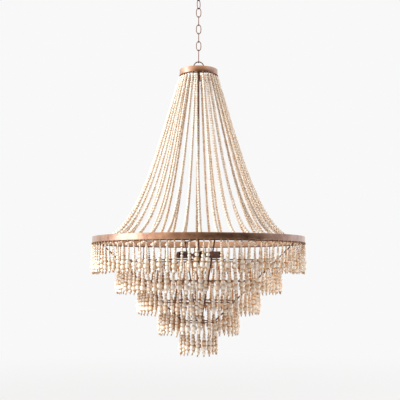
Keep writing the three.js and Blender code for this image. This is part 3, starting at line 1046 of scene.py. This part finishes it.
@dataclass
class DrapedCone(SubAssembly):
    """The strings of graded beads that drape from the cap's hoop to the main band."""

    beads: Beads = Beads(tone_spread=0.03, painted_shade=0.36, painted_shade_base=0.38, fullness=0.44)
    # Bead diameters at shares of the string's length, and the step between beads
    grades: tuple[float, ...] = (10.2 * MM, 10.8 * MM, 14 * MM)
    grade_shares: tuple[float, ...] = (0, 0.55, 1)
    step: float = 0.93
    first_gap: float = 5.5 * MM
    last_gap: float = 4 * MM
    # How unevenly the strings are tied, in degrees, and how far they swing aside between their
    # ends. The front one hangs aside of the stem.
    tied_spread: float = 1.0
    swing_spread: float = 2.2 * MM
    front_tied: float = -6.5
    front_swing: float = -1 * MM

    def curve(self) -> Array:
        """One string's line, a cubic Bezier curve in its upright plane.

        Returns:
            Radius and height in each row, from the top down.
        """
        start = np.array([CAP_HOOP_RADIUS - HOOP_WIRE, hoop_height("cap_hoop_and_drapes")])
        end = np.array([BAND_RADIUS - BAND_WALL - 1.5 * MM, heights("main_band")[0] + 5 * MM])
        first, second = (start + (end - start) * shares
                         for shares in (DRAPE_START_SHARES, DRAPE_END_SHARES))
        t = np.linspace(0, 1, 400)[:, None]
        return ((1 - t) ** 3 * start + 3 * (1 - t) ** 2 * t * first
                + 3 * (1 - t) * t ** 2 * second + t ** 3 * end)

    def spacing(self, length: float) -> tuple[Array, Array]:
        """Beads packed along the string, growing downwards.

        Args:
            length: The string's length.

        Returns:
            Each bead's distance along the string, and its diameter.
        """
        at, places, sizes = self.first_gap, [], []
        while True:
            size = float(np.interp(at / length, self.grade_shares, self.grades))
            if at + self.step * size > length - self.last_gap:
                return np.array(places), np.array(sizes)
            places.append(at + self.step / 2 * size)
            sizes.append(size)
            at += self.step * size

    def build(self) -> None:
        """Make the beads in two pieces, the threads and the ties."""
        rng = np.random.default_rng(11)
        line = self.curve()
        steps = np.linalg.norm(np.diff(line, axis=0), axis=1)
        distance = np.concatenate([[0], np.cumsum(steps)])
        places, sizes = self.spacing(distance[-1])
        radius, height, slope_out, slope_up = (np.interp(places, distance, values) for values in (
            *line.T, *(np.gradient(column, distance) for column in line.T)))
        azimuth = DRAPE_TURN_DEG + np.arange(DRAPE_COUNT) * 360 / DRAPE_COUNT
        tied = rng.normal(0, self.tied_spread, DRAPE_COUNT)
        swing = rng.normal(0, self.swing_spread, DRAPE_COUNT)
        tied[0], swing[0] = self.front_tied, self.front_swing
        share = places / distance[-1]
        sway = swing[:, None] * np.sin(np.pi * share)
        level = outwards(azimuth[:, None] + tied[:, None] * (1 - share) ** 2)
        across = np.cross(UP, level)
        centres = level * radius[:, None] + UP * height[:, None] + across * sway[:, :, None]
        along = level * slope_out[:, None] + UP * slope_up[:, None]
        shape = (DRAPE_COUNT, len(places))
        diameters = sizes * rng.uniform(0.9, 1.06, shape)
        upper = np.broadcast_to(np.arange(shape[1]) < shape[1] // 2, shape)
        nodes = ["cap_hoop_and_drapes"]
        for name, chosen in (("draped_beads_upper", upper), ("draped_beads_lower", ~upper)):
            self.add(name, self.beads.strung(centres[chosen], along[chosen], across[chosen],
                                             diameters[chosen], 8, rng), WOOD, nodes)
        seat = (outwards(azimuth) * (BAND_RADIUS - HOOP_INSET)
                + UP * (heights("main_band")[0] - HOOP_WIRE))
        outward, hoop_z = outwards(azimuth + tied), line[0, 1]
        start = outward * CAP_HOOP_RADIUS + UP * hoop_z
        path = np.concatenate([start[:, None], centres, seat[:, None]], 1)
        self.add("draped_threads", tubes(path, np.cross(UP, outward), 0.7 * MM, 5), CORD, nodes)
        ties = self.beads.ties(outward, CAP_HOOP_RADIUS, hoop_z, (1.5 * MM, 4.2 * MM, 4 * MM))
        self.add("draped_ties", ties, CORD, nodes)


@dataclass
class MainBand(SubAssembly):
    """The wide strip ring, lapped and riveted at the back."""

    lap_azimuth: float = 172.0
    lap_width: float = 16 * MM
    lap_thickness: float = 0.9 * MM
    lap_margin: float = 0.4 * MM
    lap_soft: float = 0.5 * MM
    rivet_shares: tuple[float, ...] = (0.28, 0.72)
    rivet_size: float = 4.6 * MM

    def lap(self, low: float, high: float) -> Shape:
        """The strip's end where it laps over itself, a curved plate with a softened outline.

        Args:
            low: The band's lower edge.
            high: Its upper edge.

        Returns:
            The plate.
        """
        half = np.degrees(self.lap_width / 2 / BAND_RADIUS)
        level = outwards(np.linspace(-half, half, 7) + self.lap_azimuth)
        inner, outer = BAND_RADIUS - 0.3 * MM, BAND_RADIUS + self.lap_thickness
        bottom, top, soft = low + self.lap_margin, high - self.lap_margin, self.lap_soft
        corners = np.array([(inner, bottom), (outer - soft, bottom), (outer, bottom + soft),
                            (outer, top - soft), (outer - soft, top), (inner, top)])
        return skin(level[:, None] * corners[:, :1] + UP * corners[:, 1:], wrap=False)

    def rivets(self, low: float, high: float) -> Shape:
        """Low-domed rivet heads through the lap.

        Args:
            low: The band's lower edge.
            high: Its upper edge.

        Returns:
            The rivets.
        """
        dome = spun([(0.5, 0.0), (0.46, 0.12), (0.34, 0.22), (0.15, 0.27)], 16)
        outward = outwards(self.lap_azimuth)
        face = outward * (BAND_RADIUS + self.lap_thickness - 0.05 * MM)
        rise = low + np.array(self.rivet_shares) * (high - low)
        places = face + UP * rise[:, None]
        axes = np.stack([np.cross(UP, outward), UP, outward])
        return scattered(dome, places, axes, self.rivet_size)

    def build(self) -> None:
        """Make the band and its lap joint."""
        edges, nodes = heights("main_band"), ["main_band"]
        self.add("main_strip", band_ring(BAND_RADIUS, "main_band", 0.8 * MM, 256), COPPER, nodes)
        self.add("main_strip_lap", self.lap(*edges), COPPER, nodes, crisp=40)
        self.add("main_strip_rivets", self.rivets(*edges), COPPER, nodes, crisp=50)


@dataclass
class HangingTier(SubAssembly):
    """One wire hoop with its strings of graded beads, each tied on and ending in a tassel knot."""

    number: int = 1
    strings: int = 100
    radius: float = BAND_RADIUS
    # How far the strings' ends lean out, and how far a stay parts them on its two sides
    lean: tuple[float, float] = (0.0, 0.0)
    parting: float = 12 * MM
    far_parting: float = 8 * MM

    # Bead diameters from the hoop down; the first tier goes without the first one
    grades: tuple[float, ...] = (5.4, 5.6, 5.9, 6.4, 7.1, 8.0, 9.2, 10.8, 13.0, 16.0, 18.2, 11.5)
    step: float = 0.87
    first_gap: float = 6 * MM
    last_gap: float = 7.5 * MM
    ragged: float = 6.5 * MM
    string_inset: float = 0.4 * MM
    # How far the strings sway aside at their ends, bend between, and differ in grading
    sway_spread: float = 1.5 * MM
    bend_spread: float = 1.1 * MM
    steepness_spread: float = 0.32
    uneven_spread: float = 0.12
    splice_azimuth: float = 190.0
    tassel_size: float = 4.6 * MM

    def node(self) -> str:
        """The CAD node's name."""
        return f"tier_{self.number}_hoop_and_strands"

    def build(self) -> None:
        """Make the hoop, ties, threads, beads and tassel knots."""
        hoop_z = hoop_height(self.node())
        length = hoop_z - heights(self.node())[0]
        rng = np.random.default_rng(100 + self.number)
        each = (self.strings, 1)
        pitch = 360 / self.strings
        azimuth = ARM_TURN_DEG + (np.arange(self.strings) + 0.5) * pitch
        # The strings on both sides of a stay are parted by it, the nearest ones most. No stay
        # reaches between the lowest tier's strings.
        beyond = ((azimuth - ARM_TURN_DEG + 45) % 90 - 45) / pitch
        parted = np.where(beyond < 0, -self.parting, self.far_parting)
        parted *= np.exp((0.5 - np.abs(beyond)) / 1.1) * (self.number < TIER_COUNT)
        outward = outwards(azimuth + np.degrees(0.35 * parted / self.radius))
        side = np.cross(UP, outward)
        lean = rng.uniform(*self.lean, each)
        # Neighbours lean together in part, since the beads rest against one another
        lone = rng.normal(0, 1.0, self.strings)
        shared = (lone + np.roll(lone, 1) + 0.5 * np.roll(lone, 2)) / 1.5
        sway = self.sway_spread * (shared + rng.normal(0, 0.8, self.strings)) + 0.65 * parted
        sway = sway[:, None]
        bend = rng.normal(0, self.bend_spread, each)

        def line(depth: Array) -> Array:
            """Points of every string at depths under the hoop: lean and sway grow downwards.

            Args:
                depth: Depths as strings by points.

            Returns:
                The points, as strings by points by three.
            """
            share = depth / length
            out = self.radius - self.string_inset + lean * share ** 1.4
            aside = sway * share ** 1.3 + bend * np.sin(2 * np.pi * share)
            return (outward[:, None] * out[:, :, None] + side[:, None] * aside[:, :, None]
                    + UP * (hoop_z - depth)[:, :, None])

        grades = np.array(self.grades[1 if self.number == 1 else 0:]) * MM
        last = length - self.last_gap - self.ragged * rng.uniform(0, 1, each) ** 2
        room = (length - self.last_gap - 1 * MM - self.first_gap) / (self.step * grades).sum()
        tall = self.step * grades * room
        grades = grades * min(room, 1.03)
        # Every string is graded a little differently, so that no rows line up
        steepness = rng.normal(0, self.steepness_spread, each) * np.linspace(-1, 1, len(tall))
        uneven = rng.normal(1, self.uneven_spread, (self.strings, len(tall))) + steepness
        uneven = tall * np.clip(uneven, 0.6, 1.4)
        uneven *= (last - self.first_gap) / uneven.sum(1, keepdims=True)
        depths = self.first_gap + np.cumsum(uneven, 1) - uneven / 2
        centres = line(depths)
        along = line(depths + 0.5 * MM) - line(depths - 0.5 * MM)
        diameters = np.clip(grades * uneven / tall, grades * 0.8, grades * 1.06)
        beside = np.repeat(side, len(tall), 0)
        beads = self.beads.strung(centres, along, beside, diameters, 10, rng)
        hoop = wire_ring(self.radius, hoop_z, max(72, int(self.radius / (5 * MM))))
        ties = self.beads.ties(outward, self.radius, hoop_z,
                               (self.string_inset, 4.1 * MM, 4.4 * MM))
        threads = tubes(line(1.5 * MM + last * np.linspace(0, 1, 9)), side, 0.8 * MM, 4)
        ends = self.tassels(line(last + 1.3 * MM)[:, 0], outward, rng)
        for kind, shape, finish in (
                ("beads", beads, WOOD), ("wire_hoop", merged([hoop, self.splice(hoop_z)]), BRONZE),
                ("ties", ties, CORD), ("threads", merged([threads, ends]), CORD)):
            self.add(f"tier_{self.number}_{kind}", shape, finish, [self.node()])

    def splice(self, hoop_z: float) -> Shape:
        """The crimped sleeve that joins the hoop's ends at the back.

        Args:
            hoop_z: The hoop's height.

        Returns:
            The sleeve.
        """
        azimuth = self.splice_azimuth + np.degrees(np.linspace(-7 * MM, 7 * MM, 5) / self.radius)
        radii = np.array([1.25, 1.5, 1.3, 1.5, 1.25]) * HOOP_WIRE
        return tubes(outwards(azimuth) * self.radius + UP * hoop_z, UP, radii, 12)

    def tassels(self, tips: Array, outward: Array, rng: np.random.Generator) -> Shape:
        """The knot under the last bead, with two short thread ends splayed from it.

        Args:
            tips: Where the knots sit.
            outward: Each string's level direction.
            rng: Source of the ends' directions.

        Returns:
            All the knots and ends.
        """
        shapes = [self.beads.knots(tips, outward, self.tassel_size)]
        side, each = np.cross(UP, outward), (len(tips), 1)
        for sense in (-1, 1):
            splay = side * rng.uniform(0.55, 1.0, each) * sense
            splay += outward * rng.uniform(-0.5, 0.5, each)
            drop = UP * rng.uniform(0.75, 0.98, each) * 6 * MM
            path = np.stack([tips, tips - 0.45 * drop + splay * 1.1 * MM,
                             tips - drop + splay * 3.4 * MM], 1)
            shapes.append(tubes(path, np.cross(side, UP), np.array([1.1, 1.0, 0.45]) * MM, 4))
        return merged(shapes)


@dataclass
class StayFrame(SubAssembly):
    """The centre stem with its nuts and sleeve, the spokes, and the stays that carry the hoops."""

    stem_radius: float = 3 * MM
    rod_radius: float = 2.5 * MM
    eye_wire: float = 1.35 * MM
    wrap_radius: float = 3.6 * MM
    hoops: Sequence[float] = ()

    def stem(self) -> Shape:
        """The rod, with thread grooves cut in its last stretch at both ends.

        Returns:
            The rod.
        """
        low, high = heights("centre_stem")
        full, root, step = self.stem_radius, self.stem_radius - 0.35 * MM, 0.8 * MM / 2
        return spun([(root - 0.5 * MM, low), (root, low + 0.5 * MM),
                     *threaded(root, full, np.arange(low + 1 * MM, low + 21 * MM, step)),
                     (full, low + 22 * MM), (full, high - 14 * MM),
                     *threaded(root, full, np.arange(high - 13 * MM, high - 0.6 * MM, step)),
                     (root - 0.5 * MM, high)], 20)

    def nut(self, node: str) -> Shape:
        """A hexagon nut whose corners are turned off by a cone at both faces.

        Args:
            node: The CAD nut.

        Returns:
            The nut in its place.
        """
        low, high = heights(node)
        corner, soft, angle = 6 * MM, 0.9 * MM, turn(36)
        flat = corner * np.cos(np.pi / 6) / np.cos((angle + np.pi / 6) % (np.pi / 3) - np.pi / 6)
        turned = np.minimum(flat, corner * 0.93) * 0.94
        bore = np.full(len(angle), self.stem_radius + 0.25 * MM)
        rows = [(bore, low), (turned, low), (flat, low + soft), (flat, high - soft),
                (turned, high), (bore, high)]
        level = outwards(np.degrees(angle))
        return skin(np.stack([level * reach[:, None] + UP * z for reach, z in rows]), wrap=True)

    def ring(self, node: str, outer: float, soft: float) -> Shape:
        """A turned collar round the stem.

        Args:
            node: The CAD collar.
            outer: Its outside radius.
            soft: The width of its bevels.

        Returns:
            The collar in its place.
        """
        low, high = heights(node)
        hole = self.stem_radius + 0.3 * MM
        return spun([(hole, low), (outer - soft, low), (outer, low + soft), (outer, high - soft),
                     (outer - soft, high), (hole, high)], 40, hollow=True)

    def stay(self, index: int) -> Shape:
        """A straight stay whose top is bent into an eye round its spoke.

        Args:
            index: Which stay, from one.

        Returns:
            The rod and its eye.
        """
        inner, outer = rod_ends(f"stay_rod_{index}")
        hub, rim = rod_ends(f"spoke_{index}")
        spoke, angle = unit(rim - hub), turn(28)[:, None]
        around = np.cos(angle) * np.cross(spoke, UP) + np.sin(angle) * UP
        path = hub + spoke * float((outer - hub) @ spoke) + (self.rod_radius + 1.5 * MM) * around
        return merged([round_rod(outer, inner, self.rod_radius),
                       tubes(path, spoke, self.eye_wire, 10, closed=True)])

    def wraps(self) -> Shape:
        """The turns of wire that hold each lower hoop to the stays.

        Returns:
            All the turns.
        """
        places, axes = [], []
        for index in range(1, STAY_COUNT + 1):
            inner, outer = rod_ends(f"stay_rod_{index}")
            for z in self.hoops:
                places.append(outer + (inner - outer) * (z - outer[2]) / (inner[2] - outer[2]))
                axes.append(axes_along(inner - outer))
        return self.beads.wraps(np.array(places), np.array(axes), self.wrap_radius)

    def build(self) -> None:
        """Make the stem and its hardware, the spokes and the stays."""
        nuts = ["stem_top_nut", "hub_nut"]
        sleeve = self.ring("stem_coupling", 5 * MM, 0.8 * MM)
        collar = self.ring("spoke_collar", 10 * MM, 1 * MM)
        for name, shape, nodes, crisp in (
                ("stem_rod", self.stem(), ["centre_stem"], 60),
                ("stem_nuts", merged([self.nut(node) for node in nuts]), nuts, 28),
                ("stem_sleeve", sleeve, ["stem_coupling"], 35),
                ("spoke_hub_collar", collar, ["spoke_collar"], 35)):
            self.add(name, shape, BRONZE, nodes, crisp)
        for index in range(1, STAY_COUNT + 1):
            spoke = round_rod(*rod_ends(f"spoke_{index}"), self.rod_radius)
            self.add(f"spoke_round_{index}", spoke, BRONZE, [f"spoke_{index}"])
            self.add(f"stay_round_{index}", self.stay(index), BRONZE, [f"stay_rod_{index}"])
        self.add("stay_wraps", self.wraps(), BRONZE)


@dataclass
class LampCluster(SubAssembly):
    """The spool hub with six arms, each with a candelabra socket and its brass parts."""

    housing_radius: float = 12.2 * MM
    back_radius: float = 10 * MM
    length: float = 44 * MM
    bore: float = 6.9 * MM

    def hub(self, centre: Array, arms: Array) -> Shape:
        """The turned spool with the arm tubes let into it, each behind a small flange.

        Args:
            centre: The point where the arms' lines meet.
            arms: The arms' directions.

        Returns:
            The hub.
        """
        low, high = heights("lamp_hub")
        outer, hole, soft = 13 * MM, 3.35 * MM, 4 * MM
        shapes = [spun([
            (hole, low), (outer - soft, low), (outer - 0.45 * soft, low + 0.25 * soft),
            (outer, low + soft), (outer, high - soft), (outer - 0.45 * soft, high - 0.25 * soft),
            (outer - soft, high), (hole, high)], 64, hollow=True)]
        flange = spun(np.array([(3.4, 12.4), (5.2, 12.4), (5.4, 13.2), (4.6, 14.2), (3.4, 14.2)])
                      * MM, 20, hollow=True)
        for arm in arms:
            shapes.append(round_rod(centre + arm * 9 * MM, centre + arm * 42 * MM, 3.5 * MM, 18))
            shapes.append(flange.placed(centre, axes_along(arm)))
        return merged(shapes)

    def housing(self) -> Shape:
        """The moulded cup along Z, with two grip grooves, a stepped mouth and a screw bore.

        Returns:
            The cup.
        """
        wide, back, rim, groove, end = (self.housing_radius, self.back_radius, 1.8 * MM, 0.6 * MM,
                                        self.length)
        mouth, floor, hole = end - 10 * MM, 6 * MM, 3.8 * MM
        grooves = [(wide - depth, z * MM) for z, depth in
                   ((13, 0), (13.5, groove), (14.5, groove), (15, 0), (17, 0), (17.5, groove),
                    (18.5, groove), (19, 0))]
        return spun([(hole, 0), (back - 0.6 * MM, 0), (back, 0.6 * MM), (wide, 4 * MM), *grooves,
                     (wide, end - 0.6 * MM), (wide - 0.6 * MM, end), (wide - rim + 0.2 * MM, end),
                     (wide - rim, end - 0.5 * MM), (wide - rim, mouth), (self.bore, mouth),
                     (self.bore, floor), (hole, floor)], 40, hollow=True)

    def shell(self) -> Shape:
        """The rolled screw shell: its wall waves in and out once each 2.54 mm of thread.

        Returns:
            The shell, along Z.
        """
        low, high = 7.6 * MM, self.length - 7.5 * MM
        z = np.linspace(low, high, 64)
        wave = 0.22 * MM * np.cos(2 * np.pi * (z - low) / THREAD_PITCH)
        outer, inner = (np.stack([radius + wave, z], 1) for radius in (6.3 * MM, 5.95 * MM))
        return spun(np.concatenate([outer, inner[::-1]]), 32, hollow=True)

    def contact(self) -> Shape:
        """The sprung end contact: a disc with a low dome in its middle.

        Returns:
            The contact, along Z.
        """
        low = 6.3 * MM
        return spun([(4.8 * MM, low), (4.8 * MM, low + 0.8 * MM), (2.4 * MM, low + 1 * MM),
                     (1.6 * MM, low + 1.5 * MM), (0.6 * MM, low + 1.7 * MM)], 24)

    def build(self) -> None:
        """Make the hub, and a socket with its shell and contact on each arm."""
        centre = UP * sum(heights("lamp_hub")) / 2
        arms = outwards(ARM_TURN_DEG + np.arange(LAMP_COUNT) * 360 / LAMP_COUNT)
        self.add("lamp_hub_spool", self.hub(centre, arms), BRONZE, ["lamp_hub"], 38)
        for number, arm in enumerate(arms, 1):
            start, axes = centre + arm * SOCKET_START, axes_along(arm)
            for name, shape, finish, node, crisp in (
                    ("socket_housing", self.housing(), PHENOLIC, "lamp_socket", 36),
                    ("socket_thread", self.shell(), BRASS, "screw_shell", 60),
                    ("socket_contact", self.contact(), BRASS, "centre_contact", 30)):
                self.add(f"{name}_{number}", shape.placed(start, axes), finish,
                         [f"{node}_{number}"], crisp)


# ---------------------------------------------------------------- studio


@dataclass
class Studio:
    """The pale floor and backdrop, soft light and the camera of the photograph."""

    # The eye is level with the first tiers, this far under the main band's top edge
    eye_drop: float = 124.55 * MM
    distance: float = 2.8
    pitch_deg: float = 5.31
    camera_x: float = 5 * MM
    lens: float = 69.75
    ambient: float = 0.16
    ambient_colour: str = "#ffdfc0"
    floor_half: float = 9.0
    floor_drop: float = 0.55
    card_distance: float = 4.2
    card_columns: int = 136

    # Name, azimuth, level distance, height, side, watts, and colour
    lamps: tuple[tuple, ...] = (
        ("key", -67.0, 4.0, 0.9, 0.9, 204.0, "#fffcf8"),
        ("left_softbox", -62.0, 3.1, -0.3, 1.6, 28.0, "#fffcf8"),
        ("right_fill", 104.0, 4.0, -0.2, 2.4, 178.0, "#fdf8f4"),
    )

    # What metal mirrors in front: azimuth, the cards' brightness low down and higher up, coolness
    cards: tuple[tuple[float, ...], ...] = (
        (-140, 1.2, 1.5, 0.5), (-118, 1.1, 1.8, 0.5), (-104, 1.4, 2.4, 0.7), (-94, 2.3, 3.4, 0.9),
        (-88, 4.6, 4.2, 1), (-82, 6.2, 4.2, 1), (-70, 6.4, 3.8, 1), (-63, 4.6, 2.8, 0.9),
        (-56, 2.4, 2.2, 0.7), (-50, 1.65, 1.8, 0.5), (-40, 1.08, 1.5, 0.2), (-24, 0.64, 1.2, 0),
        (-10, 0.32, 0.92, 0), (0, 0.23, 0.8, 0), (12, 0.13, 0.85, 0), (24, 0.06, 0.95, 0.2),
        (30, 0.02, 1.0, 0.3), (58, 0.02, 1.35, 0.6), (64, 0.32, 1.4, 0.7), (75, 0.5, 1.4, 1),
        (90, 0.72, 1.4, 1), (104, 1.15, 1.4, 1), (117, 1.3, 1.4, 1), (130, 1.4, 1.4, 1),
    )

    def camera(self) -> None:
        """Stand the camera in front, pitched up a little, with no shift and everything sharp."""
        data = bpy.data.cameras.new("camera")
        data.lens, data.sensor_width, data.clip_end = self.lens, 36.0, 60.0
        made = bpy.data.objects.new("camera", data)
        made.location = (self.camera_x, -self.distance, heights("main_band")[1] - self.eye_drop)
        made.rotation_euler = (np.radians(90 + self.pitch_deg), 0, 0)
        bpy.context.scene.collection.objects.link(made)
        bpy.context.scene.camera = made

    def lamp(self, name: str, place: Array, aim: Array, size: float, power: float,
             colour: str) -> None:
        """Add one soft square lamp. Shiny surfaces mirror the cards in its stead.

        Args:
            name: Its name.
            place: Where it stands.
            aim: The point that it faces.
            size: The length of its sides.
            power: Its power in watts.
            colour: Its sRGB hex colour.
        """
        data = bpy.data.lights.new(name, "AREA")
        data.shape, data.size, data.energy, data.color = "SQUARE", size, power, linear(colour)[:3]
        made = bpy.data.objects.new(name, data)
        made.visible_glossy = False
        made.location = place
        made.rotation_euler = Vector(place - aim).to_track_quat("Z", "Y").to_euler()
        bpy.context.scene.collection.objects.link(made)

    def world(self) -> None:
        """White where it is seen or mirrored, and a softer warm white where it gives light."""
        made = bpy.data.worlds.new("studio")
        made.use_nodes = True
        made.node_tree.nodes.clear()
        draw = Sketch(made.node_tree)
        rays = draw.add("LightPath", {}).node.outputs
        shown = rays["Is Camera Ray"]
        for kind in ("Is Glossy Ray", "Is Transmission Ray"):
            shown = draw.add("Math", {0: shown, 1: rays[kind]}, operation="MAXIMUM")
        light = draw.glow("Background", self.ambient_colour, self.ambient)
        white = draw.glow("Background", BACKDROP, 1.0)
        both = draw.add("MixShader", {0: shown, 1: light, 2: white})
        draw.add("OutputWorld", {"Surface": both})
        bpy.context.scene.world = made

    def floor(self) -> None:
        """A wide pale floor under the chandelier that takes its shadow."""
        made, draw = new_material("matt white studio floor")
        shader = made.node_tree.nodes["Principled BSDF"]
        draw.fill(shader, {"Base Color": linear("#e9e9e9"), "Roughness": 1.0,
                           "Specular IOR Level": 0.0})
        # The floor's own shading fades out towards the backdrop, so that no edge shows
        reach = draw.add("VectorMath", {0: draw.place()}, "Value", operation="LENGTH")
        fade = draw.add("MapRange", {0: reach, 1: 1.0, 2: 6.0, 3: 0.8, 4: 1.0},
                        interpolation_type="SMOOTHSTEP")
        # Seen by the camera, the floor is mostly its own white, so that only the shadow shows
        share = draw.add("Math", {0: draw.add("LightPath", {}, "Is Camera Ray"), 1: fade},
                         operation="MULTIPLY")
        both = draw.add("MixShader", {0: share, 1: shader.outputs[0],
                                      2: draw.glow("Emission", BACKDROP, 1.0)})
        draw.fill(made.node_tree.nodes["Material Output"], {"Surface": both})
        half, z = self.floor_half, CAD_BOUNDS[0].z - self.floor_drop
        points = np.array([(-half, -half, z), (half, -half, z), (half, half, z), (-half, half, z)])
        floor = mesh_object("floor", points, [(0, 1, 2, 3)], made, {})

    def mirrored_cards(self) -> None:
        """A curved screen in front that only mirrored rays see, bright left and dark right."""
        stops, columns = np.array(self.cards), self.card_columns
        azimuth = np.linspace(stops[0, 0], stops[-1, 0], columns)
        low, high, cool = (np.interp(azimuth, stops[:, 0], stops[:, k]) for k in (1, 2, 3))
        rows = ((-4.0, low), (0.3, low), (0.75, high), (3.0, high))
        level = outwards(azimuth) * self.card_distance
        column, row = np.meshgrid(np.arange(columns - 1), np.arange(len(rows) - 1))
        corner = (row * columns + column).ravel()
        quads = np.stack([corner, corner + 1, corner + columns + 1, corner + columns], 1)
        made, draw = new_material("studio cards, white to black")
        made.node_tree.nodes.clear()
        colour = draw.ramp(draw.mark("coolness"), [(0.0, "#ffeedd"), (1.0, "#dfe9ff"),
                                                   (0.5, "#fffaf4")])
        card = draw.glow("Emission", colour, draw.mark("glow"))
        draw.add("OutputMaterial", {"Surface": card})
        points = np.concatenate([level + UP * z for z, _ in rows])
        marks = {"glow": np.concatenate([glow for _, glow in rows])[:, None],
                 "coolness": np.tile(cool, len(rows))[:, None]}
        cards = mesh_object("mirrored_cards", points, quads.tolist(), made, marks)
        cards.visible_camera = cards.visible_diffuse = False
        cards.visible_transmission = cards.visible_shadow = False

    def build(self) -> None:
        """Set up the view, the light and the floor."""
        bpy.context.scene.view_settings.view_transform = "Standard"
        middle = UP * CAD_BOUNDS[0].z / 2
        for name, azimuth, distance, z, size, power, colour in self.lamps:
            self.lamp(name, outwards(azimuth) * distance + UP * z, middle, size, power, colour)
        self.world()
        self.floor()
        self.mirrored_cards()
        self.camera()


def tiers() -> list[HangingTier]:
    """The five hanging tiers, the lower ones on a straight line from the band's top edge.

    Returns:
        The tiers, widest first.
    """
    made = [HangingTier(number=1, strings=100, radius=BAND_RADIUS - HOOP_INSET,
                        lean=(-3.4 * MM, -1.6 * MM), parting=25 * MM)]
    lowest = hoop_height(HangingTier(number=TIER_COUNT).node())
    slope = (BAND_RADIUS - LOWEST_TIER_RADIUS) / (heights("main_band")[1] - lowest)
    for number in range(2, TIER_COUNT + 1):
        tier = HangingTier(number=number, strings=120 - 20 * number, lean=(-1.5 * MM, 1.2 * MM))
        tier.radius = LOWEST_TIER_RADIUS + slope * (hoop_height(tier.node()) - lowest)
        made.append(tier)
    return made


def main() -> None:
    """Build every sub-assembly in order, then the studio."""
    logging.basicConfig(level=logging.INFO, format="%(name)s: %(message)s")
    hanging = tiers()
    assemblies: list[SubAssembly] = [
        CeilingFitting(), Chain(), Cap(), DrapedCone(), MainBand(), *hanging,
        StayFrame(hoops=[hoop_height(tier.node()) for tier in hanging[1:]]), LampCluster(),
    ]
    for assembly in assemblies:
        assembly.build()
        faces = sum(len(piece.data.polygons) for piece in assembly.pieces)
        LOG.info("%s: %d pieces, %d faces", type(assembly).__name__, len(assembly.pieces), faces)
    Studio().build()


if __name__ == "__main__":
    main()
